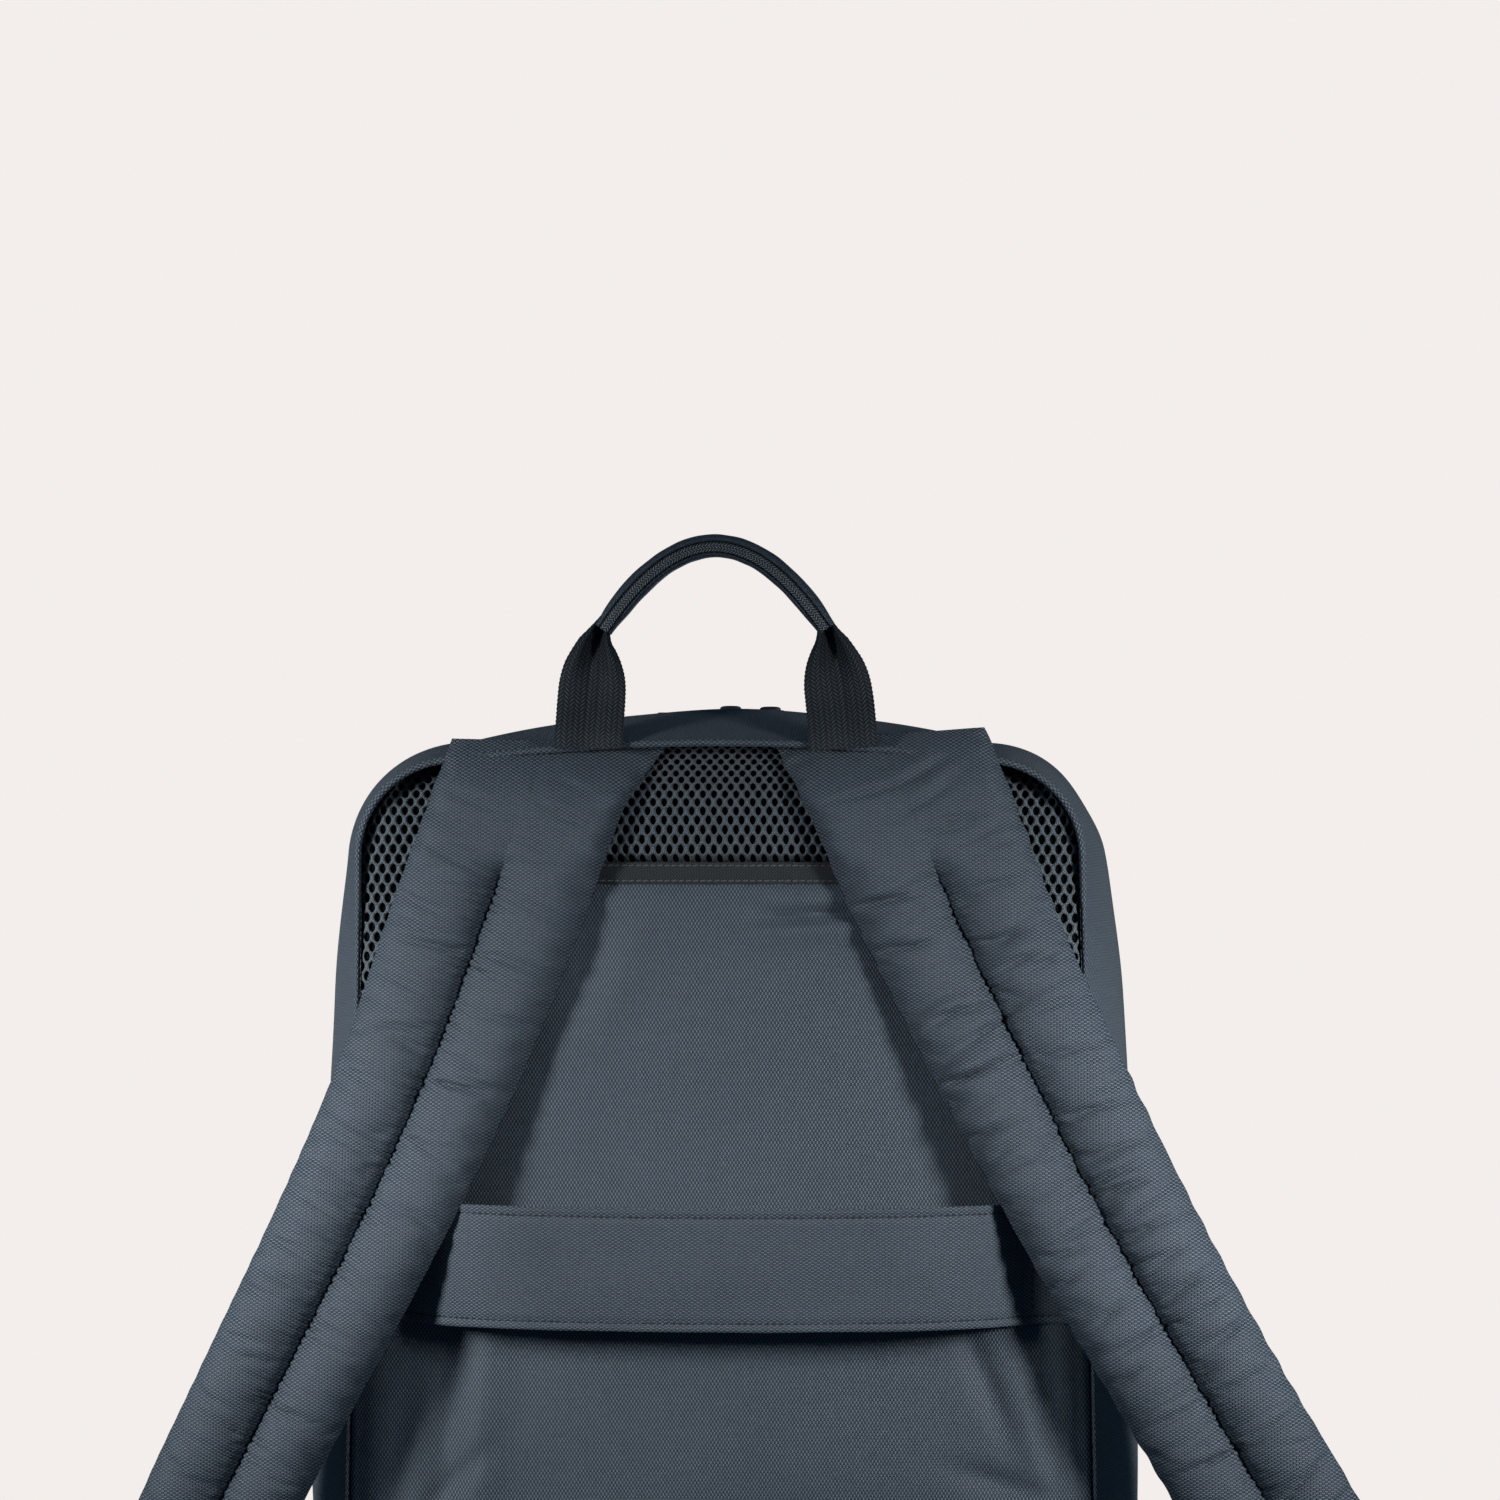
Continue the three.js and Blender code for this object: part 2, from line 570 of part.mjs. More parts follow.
// A tab of doubled cloth, wide at the seam and as wide as the webbing at its tip.
function strapTab(side) {
  const steps = 4;
  const rows = 2;
  const first = TAB_COURSE[0].x;
  const last = TAB_COURSE[TAB_COURSE.length - 1].x;
  const face = (depth) => (i, j) => {
    const x = lerp(first, last, i / steps);
    const z = read(TAB_COURSE, "x", "z", x) + read(TAB_COURSE, "x", "half", x) * (j - 1);
    return new THREE.Vector3(side * x, read(TAB_COURSE, "x", "y", x) + depth, z);
  };
  return wall(steps, rows, face(-TAB.thick / 2), face(TAB.thick / 2));
}

// A point of the grip's centre line at x.
function gripLine(x) {
  return new THREE.Vector3(x, HANDLE.y, HANDLE.top - HANDLE.rise * (x / HANDLE.halfSpan) ** 2);
}

// The direction out of the handle's arch at a station of its course.
function archOut(stations, i) {
  const before = stations[Math.max(i - 1, 0)];
  const after = stations[Math.min(i + 1, stations.length - 1)];
  const run = after.clone().sub(before).normalize();
  return new THREE.Vector3(-run.z, 0, run.x);
}

// The handle's webbing: flat sewn ends, gathered into a narrow core that runs inside the grip.
function handleWebbing() {
  const steps = 16;
  const rows = 2;
  const ends = HANDLE_ENDS.map((row) => ({ ...row, x: -row.x }));
  const core = [];
  for (let k = 0; k <= steps; k++) {
    core.push({ ...gripLine(lerp(-HANDLE.halfSpan, HANDLE.halfSpan, k / steps)), ...HANDLE_CORE });
  }
  const course = [...ends, ...core, ...HANDLE_ENDS.toReversed()];
  const centres = course.map((row) => new THREE.Vector3(row.x, HANDLE.y, row.z));
  const face = (side) => (i, j) => {
    const point = centres[i].clone().addScaledVector(archOut(centres, i), course[i].half * (j - 1));
    point.y += side * course[i].deep;
    return point;
  };
  return wall(course.length - 1, rows, face(-1), face(1));
}

// The grip: cloth wrapped round the core, open along a slit on the wearer's side.
function handleGrip() {
  const steps = 14;
  const around = 12;
  const reach = HANDLE.halfSpan - 1;
  const centres = [];
  for (let k = 0; k <= steps; k++) {
    centres.push(gripLine(lerp(-reach, reach, k / steps)));
  }
  const squared = (value) => Math.sign(value) * Math.abs(value) ** GRIP_SLIT.squareness;
  const face = (thick) => (i, j) => {
    const turn = degToRad(lerp(GRIP_SLIT.from, GRIP_SLIT.to, j / around));
    const point = centres[i].clone();
    point.addScaledVector(archOut(centres, i), (HANDLE.gripHigh - thick) * squared(Math.sin(turn)));
    point.y -= (HANDLE.grip - thick) * squared(Math.cos(turn));
    return point;
  };
  return wall(steps, around, face(0), face(HANDLE.wrap));
}

function finish(color, roughness) {
  return new THREE.MeshStandardMaterial({ color, roughness, metalness: 0 });
}
const NYLON = finish(0x2c3742, 0.75);
const AIR_MESH = finish(0x262d34, 0.85);
const STRAPPING = finish(0x1f252b, 0.8);
const BINDING = finish(0x242b31, 0.8);
const ZIP_TAPE = finish(0x20272e, 0.8);
const PLASTIC = finish(0x1a1d20, 0.5);

const backpack = new THREE.Group();

function add(name, geometry, material) {
  const mesh = new THREE.Mesh(geometry, material);
  mesh.name = name;
  backpack.add(mesh);
}

add("gusset", gusset(), NYLON);
add("front_panel", frontPanel(), NYLON);
add("base_panel", basePanel(), NYLON);
const belowYoke = (u) => yokeLine(u) - GAP / 2;
const aboveYoke = (u) => yokeLine(u) + GAP / 2;
add("back_panel", backPatch(hemEdge, belowYoke, "upper", BACK_FOLDS, STEPS.panelUp), NYLON);
add("mesh_yoke", backPatch(aboveYoke, topEdge, "lower", [], STEPS.yokeUp), AIR_MESH);
add("yoke_tape", yokeTape(), BINDING);
add("luggage_band", luggageBand(), NYLON);
add("main_zip", mainZip(), ZIP_TAPE);
for (const slider of SLIDERS) {
  add(slider.name, zipSlider(slider), PLASTIC);
}
for (const [name, side] of [["left", -1], ["right", 1]]) {
  const edges = STRAP_EDGES[name];
  const lockX = side * strapEnd(edges);
  add(`shoulder_strap_${name}`, shoulderStrap(side, edges), NYLON);
  add(`ladder_lock_${name}`, ladderLock(lockX), PLASTIC);
  add(`strap_webbing_${name}`, strapWebbing(side, lockX), STRAPPING);
  add(`strap_tab_${name}`, strapTab(side), NYLON);
}
add("handle_webbing", handleWebbing(), STRAPPING);
add("handle_grip", handleGrip(), NYLON);

export default backpack;
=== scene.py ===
# %% [markdown]
# A laptop backpack, seen from the wearer's side. It is a hollow shell of woven nylon with a padded back, an
# air-mesh yoke, two padded shoulder straps, a haul handle and a flat luggage band across the back. The
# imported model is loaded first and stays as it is: each soft solid gets a sewn-looking piece in its place.
# Lengths are millimetres, as a pattern maker writes them, and one function turns them into metres.

import json
from types import SimpleNamespace as Sizes

import bpy
import numpy as np
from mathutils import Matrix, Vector

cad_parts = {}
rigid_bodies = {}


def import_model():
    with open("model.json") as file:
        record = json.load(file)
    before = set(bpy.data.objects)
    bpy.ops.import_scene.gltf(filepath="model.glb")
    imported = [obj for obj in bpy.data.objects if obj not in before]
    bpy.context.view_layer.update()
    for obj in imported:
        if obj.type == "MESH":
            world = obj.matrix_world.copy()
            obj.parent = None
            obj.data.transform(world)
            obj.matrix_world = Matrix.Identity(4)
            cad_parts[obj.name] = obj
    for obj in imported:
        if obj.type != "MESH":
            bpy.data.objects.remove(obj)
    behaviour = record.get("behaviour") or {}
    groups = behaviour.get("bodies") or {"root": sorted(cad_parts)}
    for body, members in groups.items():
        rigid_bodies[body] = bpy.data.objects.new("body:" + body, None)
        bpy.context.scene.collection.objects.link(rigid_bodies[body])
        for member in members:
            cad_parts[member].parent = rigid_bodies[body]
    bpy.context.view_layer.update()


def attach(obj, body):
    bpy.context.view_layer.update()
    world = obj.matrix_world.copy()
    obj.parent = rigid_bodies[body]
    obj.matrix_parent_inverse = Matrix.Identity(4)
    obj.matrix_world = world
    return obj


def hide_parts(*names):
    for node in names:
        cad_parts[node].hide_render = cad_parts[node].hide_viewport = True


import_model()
scene = bpy.context.scene
MM = 0.001
OUT = np.array([0.0, -1.0, 0.0])

# %% [markdown]
# The photograph looks level at the bag's back, about at the height of its top seam, a few degrees from one
# side. A long lens from far away keeps the outline honest, so the camera gets a width of view at the near
# plane.

# %% Camera
VIEW = Sizes(yaw=3, side=12.4, near=-85, height=425, away=2200, width=564)


def aim_camera():
    """Stands the camera back along its own line of sight; lens = sensor x distance / width of view."""
    yaw = np.radians(VIEW.yaw)
    ahead = np.array([-np.sin(yaw), np.cos(yaw), 0])
    data = bpy.data.cameras.new("camera")
    data.sensor_fit = "HORIZONTAL"
    data.lens = data.sensor_width * VIEW.away / VIEW.width
    camera = bpy.data.objects.new("camera", data)
    camera.location = (np.array([VIEW.side, VIEW.near, VIEW.height]) - VIEW.away * ahead) * MM
    camera.rotation_euler = (np.pi / 2, 0, yaw)
    scene.collection.objects.link(camera)
    scene.camera = camera
    return data.lens


print("camera: lens", round(aim_camera(), 1), "mm")

# %% [markdown]
# Studio light for dark cloth is soft but comes from the sides: two soft boxes stand left and right of the
# camera, so that each strap is lit from its own side and its groove and folds stay dark. A third box lights
# the far side of the bag, for the views from behind, and a dim surround fills the shadows a little.

# %% Light
PALE = (0.896, 0.855, 0.831, 1)
SHADE = (0.03, 0.055, 0.085, 1)
SIDE_BOX = dict(wide=0.16, tall=0.2, spread=44, watts=0.61, gloss=True)
FAR_BOX = dict(wide=0.26, tall=0.3, spread=80, watts=7, gloss=False)
LAMPS = {
    "left box": Sizes(at=(-0.6, -0.64, 0.45), aim=(-0.2, -0.08, 0.285), **SIDE_BOX),
    "right box": Sizes(at=(0.62, -0.64, 0.45), aim=(0.22, -0.08, 0.285), **SIDE_BOX),
    "far box": Sizes(at=(0, 1.3, 0.2), aim=(0, 0.06, 0.22), **FAR_BOX),
}


def light_the_studio():
    """A world that looks pale but lights dimly and bluish, and area lamps with a narrow spread."""
    world = bpy.data.worlds.new("studio")
    world.use_nodes = True
    tree = world.node_tree
    colour = tree.nodes.new("ShaderNodeMix")
    colour.data_type = "RGBA"
    colour.inputs["A"].default_value, colour.inputs["B"].default_value = SHADE, PALE
    seen = tree.nodes.new("ShaderNodeLightPath").outputs["Is Camera Ray"]
    tree.links.new(seen, colour.inputs["Factor"])
    tree.links.new(colour.outputs["Result"], tree.nodes["Background"].inputs["Color"])
    scene.world = world
    scene.view_settings.view_transform = "Standard"
    for name, lamp in LAMPS.items():
        data = bpy.data.lights.new(name, "AREA")
        data.energy = lamp.watts
        data.shape = "RECTANGLE"
        data.size, data.size_y = lamp.wide, lamp.tall
        data.spread = np.radians(lamp.spread)
        shown = bpy.data.objects.new(name, data)
        shown.location = lamp.at
        shown.rotation_euler = (Vector(lamp.aim) - Vector(lamp.at)).to_track_quat("-Z", "Y").to_euler()
        shown.visible_camera = False
        shown.visible_glossy = lamp.gloss
        scene.collection.objects.link(shown)


light_the_studio()
print("light:", ", ".join(LAMPS))

# %% [markdown]
# A finish is a small network of shader nodes. Two short helpers keep these networks readable: one adds a
# node and fills its sockets, the other does one step of arithmetic.

# %% Node helpers
def node(tree, kind, inputs, **settings):
    """Adds a shader node; inputs maps a socket's name or number to a value or to another node's output."""
    made = tree.nodes.new("ShaderNode" + kind)
    for name, value in settings.items():
        setattr(made, name, value)
    for socket, value in inputs.items():
        if isinstance(value, bpy.types.NodeSocket):
            tree.links.new(value, made.inputs[socket])
        else:
            made.inputs[socket].default_value = value
    return made


def calc(tree, operation, *values):
    """One step of arithmetic on values or sockets."""
    return node(tree, "Math", dict(enumerate(values)), operation=operation).outputs[0]


def new_group(name, inputs, outputs):
    """An empty node group with float or vector sockets; gives the tree, its inputs and its outputs."""
    tree = bpy.data.node_groups.new(name, "ShaderNodeTree")
    for label, kind in inputs.items():
        tree.interface.new_socket(label, in_out="INPUT", socket_type="NodeSocket" + kind)
    for label in outputs:
        tree.interface.new_socket(label, in_out="OUTPUT", socket_type="NodeSocketFloat")
    return tree, tree.nodes.new("NodeGroupInput").outputs, tree.nodes.new("NodeGroupOutput").inputs


# %% [markdown]
# Plain weave is one thread over, one under. In shader terms each thread is a rounded ridge, and a chequer
# of the thread numbers says which of the two ridges lies on top. Ribbed webbing is coarser: upright ribs
# whose yarns lean one way in one rib and the other way in the next. Both are node groups, because several
# finishes use them. Both also darken their tone with their height: painted shade in the hollows between
# threads, ribs and yarns.

# %% Pattern groups
# PLAIN's floor and rise, and RIB's tone_floor and tone_rise, set the painted shade that the tone takes from
# the height.
PLAIN = Sizes(yarns=((0.06, 0.8), (0.8, 0.06)), uneven=0.2, warp_tone=1.6, weft_step=-1.2,
              floor=0.65, rise=0.7)
RIB = Sizes(power=0.5, floor=0.55, rise=0.45, yarn_floor=0.1, yarn_rise=0.9, tone_floor=0.15, tone_rise=3.4)
FADING = Sizes(patches=14.0, lint=900.0)


def ridge(tree, at):
    """A rounded ridge for each whole number of at: the sine squared of pi times at."""
    wave = calc(tree, "SINE", calc(tree, "MULTIPLY", at, np.pi))
    return calc(tree, "MULTIPLY", wave, wave)


def thread_counts(tree, vector, across, along):
    """The cloth's own coordinates counted in threads of the two given sizes."""
    flat = node(tree, "SeparateXYZ", {0: vector})
    u = calc(tree, "DIVIDE", flat.outputs[0], calc(tree, "MULTIPLY", across, MM))
    v = calc(tree, "DIVIDE", flat.outputs[1], calc(tree, "MULTIPLY", along, MM))
    return u, v


def plain_weave_group():
    """Height = warp or weft ridge by the chequer; tone = height as painted shade x chequer, with uneven
    yarns.
    """
    sockets = {"Vector": "Vector", "Warp": "Float", "Weft": "Float"}
    tree, given, result = new_group("plain weave", sockets, ["Height", "Tone"])
    u, v = thread_counts(tree, given["Vector"], given["Warp"], given["Weft"])
    number = calc(tree, "ADD", calc(tree, "FLOOR", u), calc(tree, "FLOOR", v))
    on_top = calc(tree, "FLOORED_MODULO", number, 2.0)
    warp, weft = ridge(tree, u), ridge(tree, v)
    height = calc(tree, "MULTIPLY_ADD", calc(tree, "SUBTRACT", weft, warp), on_top, warp)
    yarn_tones = []
    for along_u, along_v in PLAIN.yarns:
        stretched = {0: calc(tree, "MULTIPLY", u, along_u), 1: calc(tree, "MULTIPLY", v, along_v)}
        place = node(tree, "CombineXYZ", stretched).outputs[0]
        yarn_tones.append(node(tree, "TexNoise", {"Vector": place, "Scale": 1.0, "Detail": 2.0}).outputs[0])
    uneven = calc(tree, "SUBTRACT", calc(tree, "ADD", *yarn_tones), 1.0)
    chequer = calc(tree, "MULTIPLY_ADD", on_top, PLAIN.weft_step, PLAIN.warp_tone)
    # Painted shade: the tone falls with the height, so each thread darkens towards its low sides.
    tone = calc(tree, "MULTIPLY", calc(tree, "MULTIPLY_ADD", height, PLAIN.rise, PLAIN.floor), chequer)
    tree.links.new(height, result["Height"])
    tree.links.new(calc(tree, "MULTIPLY_ADD", uneven, PLAIN.uneven, tone), result["Tone"])
    return tree


def ribbed_group():
    """Height = rib ridge x yarn wave, painted shade by its square; yarns lean by turns, one way and the
    other.
    """
    sockets = {"Vector": "Vector", "Rib": "Float", "Yarn": "Float", "Lean": "Float"}
    tree, given, result = new_group("ribbed webbing", sockets, ["Height", "Tone"])
    u, v = thread_counts(tree, given["Vector"], given["Rib"], given["Yarn"])
    way = calc(tree, "MULTIPLY_ADD", calc(tree, "FLOORED_MODULO", calc(tree, "FLOOR", u), 2.0), 2.0, -1.0)
    leaned = calc(tree, "MULTIPLY", calc(tree, "MULTIPLY", calc(tree, "FRACT", u), given["Lean"]), way)
    yarn = ridge(tree, calc(tree, "ADD", v, leaned))
    rib = calc(tree, "MULTIPLY_ADD", calc(tree, "POWER", ridge(tree, u), RIB.power), RIB.rise, RIB.floor)
    height = calc(tree, "MULTIPLY", rib, calc(tree, "MULTIPLY_ADD", yarn, RIB.yarn_rise, RIB.yarn_floor))
    tree.links.new(height, result["Height"])
    # Painted shade: tone by the height's square, dark in the hollows between ribs and yarns, light on their
    # tops.
    shade_by_height = calc(tree, "MULTIPLY", height, height)
    tree.links.new(calc(tree, "MULTIPLY_ADD", shade_by_height, RIB.tone_rise, RIB.tone_floor), result["Tone"])
    return tree


def mottle_group():
    """Tone round 1 from two sizes of noise: faded patches a hand wide and specks of lint."""
    tree, given, result = new_group("soft mottle", {"Vector": "Vector", "Depth": "Float"}, ["Tone"])
    place = given["Vector"]
    patches = node(tree, "TexNoise", {"Vector": place, "Scale": FADING.patches, "Detail": 3.0}).outputs[0]
    lint = node(tree, "TexNoise", {"Vector": place, "Scale": FADING.lint, "Detail": 1.0}).outputs[0]
    both = calc(tree, "ADD", calc(tree, "SUBTRACT", patches, 0.5), calc(tree, "SUBTRACT", lint, 0.5))
    tree.links.new(calc(tree, "MULTIPLY_ADD", both, given["Depth"], 1.0), result["Tone"])
    return tree


WEAVE, RIBBED, MOTTLE = plain_weave_group(), ribbed_group(), mottle_group()
print("groups:", WEAVE.name, RIBBED.name, MOTTLE.name)

# %% [markdown]
# Every finish of the bag then follows one plan: its own colour, darkened and lightened by the pattern
# (with painted shade in the pattern's hollows) and the mottle, a roughness that follows the pattern, and a
# bump for relief too fine to model. Constant values such as sheen are set on the shader itself.

# %% Finishes
ROUGH = Sizes(valleys=0.08, rise=-0.15, sheen=0.4)


def finish(name, colour, pattern, sizes, roughness, relief, sheen=0.0, mottle=0.35, gloss=0.35):
    """Base colour = colour x pattern tone x mottle tone; bump = pattern height x relief in millimetres.

    The sizes are the pattern's own: warp and weft of a plain weave; rib, yarn and lean of ribbed webbing.
    The pattern tone carries painted shade by height into the base colour."""
    material = bpy.data.materials.new(name)
    material.use_nodes = True
    tree = material.node_tree
    shader = tree.nodes["Principled BSDF"]
    cloth = node(tree, "UVMap", {}, uv_map="cloth").outputs[0]
    place = node(tree, "TexCoord", {}).outputs["Object"]
    weave = node(tree, "Group", dict(enumerate([cloth, *sizes])), node_tree=pattern)
    faded = node(tree, "Group", {"Vector": place, "Depth": mottle}, node_tree=MOTTLE)
    # Painted shade: the pattern's tone, darker in its hollows, multiplies the base colour.
    tone = calc(tree, "MULTIPLY", weave.outputs["Tone"], faded.outputs["Tone"])
    tinted = node(tree, "VectorMath", {0: colour, "Scale": tone}, operation="SCALE").outputs[0]
    tree.links.new(tinted, shader.inputs["Base Color"])
    height = weave.outputs["Height"]
    rough = calc(tree, "MULTIPLY_ADD", height, ROUGH.rise, roughness + ROUGH.valleys)
    tree.links.new(rough, shader.inputs["Roughness"])
    bump = node(tree, "Bump", {"Height": height, "Distance": relief * MM, "Strength": 1.0})
    tree.links.new(bump.outputs[0], shader.inputs["Normal"])
    shader.inputs["Sheen Weight"].default_value = sheen
    shader.inputs["Sheen Roughness"].default_value = ROUGH.sheen
    shader.inputs["Specular IOR Level"].default_value = gloss
    return material


NYLON = finish("slate nylon", (0.06, 0.079, 0.1), WEAVE, (0.67, 1.1), 0.6, 0.2, sheen=0.05)
# Partly painted light: the grip's own navy colour, raised by a quarter because the lamps barely reach the
# handle.
GRIP_WITH_PAINTED_LIGHT = finish("smooth navy cloth with painted light", (0.055, 0.073, 0.095), WEAVE, (0.35, 0.45), 0.45, 0.06, sheen=0.05)
AIR_MESH = finish("air mesh yarn", (0.098, 0.123, 0.142), WEAVE, (0.5, 0.5), 0.75, 0.15, sheen=0.1)
FOAM = finish("dark padding", (0.002, 0.003, 0.004), WEAVE, (0.7, 0.7), 0.9, 0.1, gloss=0.05)
WEBBING = finish("charcoal webbing", (0.0152, 0.0208, 0.0262), RIBBED, (2.1, 1.5, 1.3), 0.7, 0.25)
# Painted light: the slit's strip is the charcoal webbing, coloured several times lighter because the lamps
# barely reach the handle.
PAINTED_LIGHT_STRIP = finish("slit webbing with painted light", (0.085, 0.1, 0.11), RIBBED, (1.1, 1.2, 0.8), 0.7, 0.3)
TAPE = finish("ribbed tape", (0.0165, 0.0205, 0.024), RIBBED, (0.6, 1.1, 0.6), 0.75, 0.18)
GREY_STITCH = finish("grey thread", (0.078, 0.083, 0.08), RIBBED, (0.35, 0.5, 1.0), 0.65, 0.05)
STITCH = finish("navy thread", (0.012, 0.016, 0.022), RIBBED, (0.35, 0.5, 1.0), 0.65, 0.05)
ZIP_TAPE = finish("zip tape", (0.03, 0.037, 0.045), RIBBED, (0.7, 0.7, 0.5), 0.75, 0.1)
PLASTIC = finish("moulded plastic", (0.017, 0.019, 0.022), WEAVE, (0.25, 0.25), 0.42, 0.012, mottle=0.2)
print("finishes:", ", ".join(m.name for m in bpy.data.materials if m.use_nodes))

# %% [markdown]
# Most of the bag can be described as a ring of points carried along a path: a strap, a hem, a ribbon, even
# a panel with its front and its back face. So one function lofts rings into a closed solid, and another
# puts any number of such solids into one mesh, with a cloth map in metres so that the weave has its real
# size everywhere.

# %% Meshes from grids of points
CORNERS = [(slice(None, -1), slice(None, -1)), (slice(1, None), slice(None, -1)),
           (slice(1, None), slice(1, None)), (slice(None, -1), slice(1, None))]


def xyz(x, y, z):
    """Points from three coordinates, each a number or an array, spread over one grid."""
    return np.stack(np.broadcast_arrays(x, y, z), axis=-1)


def summed(steps):
    """Running total of steps, from 0."""
    return np.concatenate([[0], np.cumsum(steps)])


def run_length(points, axis):
    """Length along the grid lines of one direction, averaged over the other direction."""
    return summed(np.linalg.norm(np.diff(points, axis=axis), axis=-1).mean(axis=1 - axis))


def grid(points, loop_u=False, loop_v=False, uv=None):
    """Quads between neighbouring points of a grid, closed round where a direction is a loop."""
    count_u, count_v = points.shape[:2]
    i, j = np.meshgrid(np.arange(count_u + loop_u), np.arange(count_v + loop_v), indexing="ij")
    number = (i % count_u) * count_v + j % count_v
    if uv is None:
        whole = points[i % count_u, j % count_v]
        uv = np.stack(np.meshgrid(run_length(whole, 0), run_length(whole, 1), indexing="ij"), axis=-1)
        uv = uv[..., ::-1]
    faces = np.stack([number[corner] for corner in CORNERS], axis=-1).reshape(-1, 4)
    uvs = np.stack([uv[corner] for corner in CORNERS], axis=-2).reshape(-1, 4, 2)
    return points.reshape(-1, 3), faces, uvs


def enclosed(points, faces):
    """Signed volume: the sum of corner . (corner x corner) over the triangles of every quad."""
    a, b, c, d = (points[faces[:, k]] for k in range(4))
    return np.einsum("ij,ij->", a, np.cross(b, c) + np.cross(c, d))


def loft(rings, closed=False, uv=None):
    """A solid from rings of points along a path; ends are closed straight across unless it is a loop."""
    points, faces, uvs = grid(rings, loop_u=closed, loop_v=True, uv=uv)
    if not closed:
        count, size = rings.shape[:2]
        k = np.arange(size // 2 - 1)
        across = np.stack([size - 1 - k, size - 2 - k, k + 1, k], axis=-1)
        ends = np.concatenate([across, across[:, ::-1] + (count - 1) * size])
        faces = np.concatenate([faces, ends])
        uvs = np.concatenate([uvs, np.zeros((len(ends), 4, 2)) + points[ends][..., [0, 2]]])
    if enclosed(points, faces) < 0:
        faces, uvs = faces[:, ::-1], uvs[:, ::-1]
    return points, faces, uvs


def wall(front, rear, flat=None):
    """A solid of rings along the front grid's lines and back along the rear's; flat maps the front."""
    uv = None if flat is None else np.concatenate([flat, flat[:, ::-1], flat[:, :1]], axis=1)
    return loft(np.concatenate([front, rear[:, ::-1]], axis=1), uv=uv)


def piece(name, shapes, material, nodes=(), crease=50):
    """One mesh object from shapes in millimetres, smooth but for edges sharper than the crease angle."""
    starts = np.cumsum([0] + [len(shape[0]) for shape in shapes[:-1]])
    points = np.concatenate([shape[0] for shape in shapes]) * MM
    faces = np.concatenate([shape[1] + start for shape, start in zip(shapes, starts)])
    uvs = np.concatenate([shape[2] for shape in shapes]) * MM
    mesh = bpy.data.meshes.new(name)
    mesh.vertices.add(len(points))
    mesh.loops.add(faces.size)
    mesh.polygons.add(len(faces))
    mesh.vertices.foreach_set("co", points.astype(np.float32).ravel())
    mesh.loops.foreach_set("vertex_index", faces.astype(np.int32).ravel())
    mesh.polygons.foreach_set("loop_start", np.arange(0, faces.size, 4, dtype=np.int32))
    mesh.uv_layers.new(name="cloth").data.foreach_set("uv", uvs.astype(np.float32).ravel())
    mesh.update(calc_edges=True)
    mesh.validate()
    mesh.shade_smooth()
    mesh.set_sharp_from_angle(angle=np.radians(crease))
    mesh.materials.append(material)
    made = bpy.data.objects.new(name, mesh)
    scene.collection.objects.link(made)
    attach(made, "root")
    if nodes:
        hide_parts(*nodes)
    print(f"{name}: {2 * len(faces)} triangles")
    return made


# %% [markdown]
# Shapes that a hand has sewn are read off short tables: a few rows, and a smooth curve through them.
# Wrinkles need irregular waves that come out the same on every run, so they are sums of sines with seeded
# lengths and phases.

# %% Tables, curves and waves
WAVES = Sizes(shortest=0.65, longest=1.6, dapple=1.6)


def table(columns, *rows):
    """Named columns from rows of numbers."""
    return dict(zip(columns.split(), np.array(rows, dtype=float).T))


def read(rows, key, column, at):
    """A column's value at a key: cubics between rows, with each row's slope taken from its neighbours."""
    keys, values = rows[key], rows[column]
    count = np.arange(len(keys))
    before, after = np.maximum(count - 1, 0), np.minimum(count + 1, len(keys) - 1)
    slope = (values[after] - values[before]) / (keys[after] - keys[before])
    i = np.clip(np.searchsorted(keys, at, side="right") - 1, 0, len(keys) - 2)
    span = keys[i + 1] - keys[i]
    s = np.clip((at - keys[i]) / span, 0, 1)
    start = values[i] * (1 + 2 * s) * (1 - s) ** 2 + slope[i] * span * s * (1 - s) ** 2
    end = values[i + 1] * (3 - 2 * s) * s ** 2 - slope[i + 1] * span * (1 - s) * s ** 2
    return start + end


def lerp(a, b, share):
    return a + (b - a) * share


def smooth(x, low, high):
    """0 below low, 1 above high, and an S-curve between them."""
    share = np.clip((x - low) / (high - low), 0, 1)
    return share * share * (3 - 2 * share)


def hump(x, width):
    """A bell curve of the given half width."""
    return np.exp(-((x / width) ** 2))


def rolled(distance, radius):
    """Height of a quarter round at a distance from its edge, from 0 to 1."""
    return np.sqrt(1 - (1 - np.clip(distance / radius, 0, 1)) ** 2)


def eased(count):
    """Shares from 0 to 1 that lie closer together towards both ends: half of 1 - cosine."""
    return 0.5 - 0.5 * np.cos(np.pi * np.linspace(0, 1, count))


def turns(count):
    """Angles of even steps round a circle."""
    return np.arange(count) * 2 * np.pi / count


def pushed(value, power):
    """A power that keeps the sign; below 1 it pushes a circle's sine and cosine out towards a square."""
    return np.sign(value) * np.abs(value) ** power


def unit(vectors):
    return vectors / np.linalg.norm(vectors, axis=-1, keepdims=True)


def line_run(line):
    """Length run along a line of points."""
    return summed(np.linalg.norm(np.diff(line, axis=0), axis=1))


def between(at, run, values):
    """Rows of values at places along a run, on straight lines between its points."""
    return np.stack([np.interp(at, run, column) for column in values.T], axis=-1)


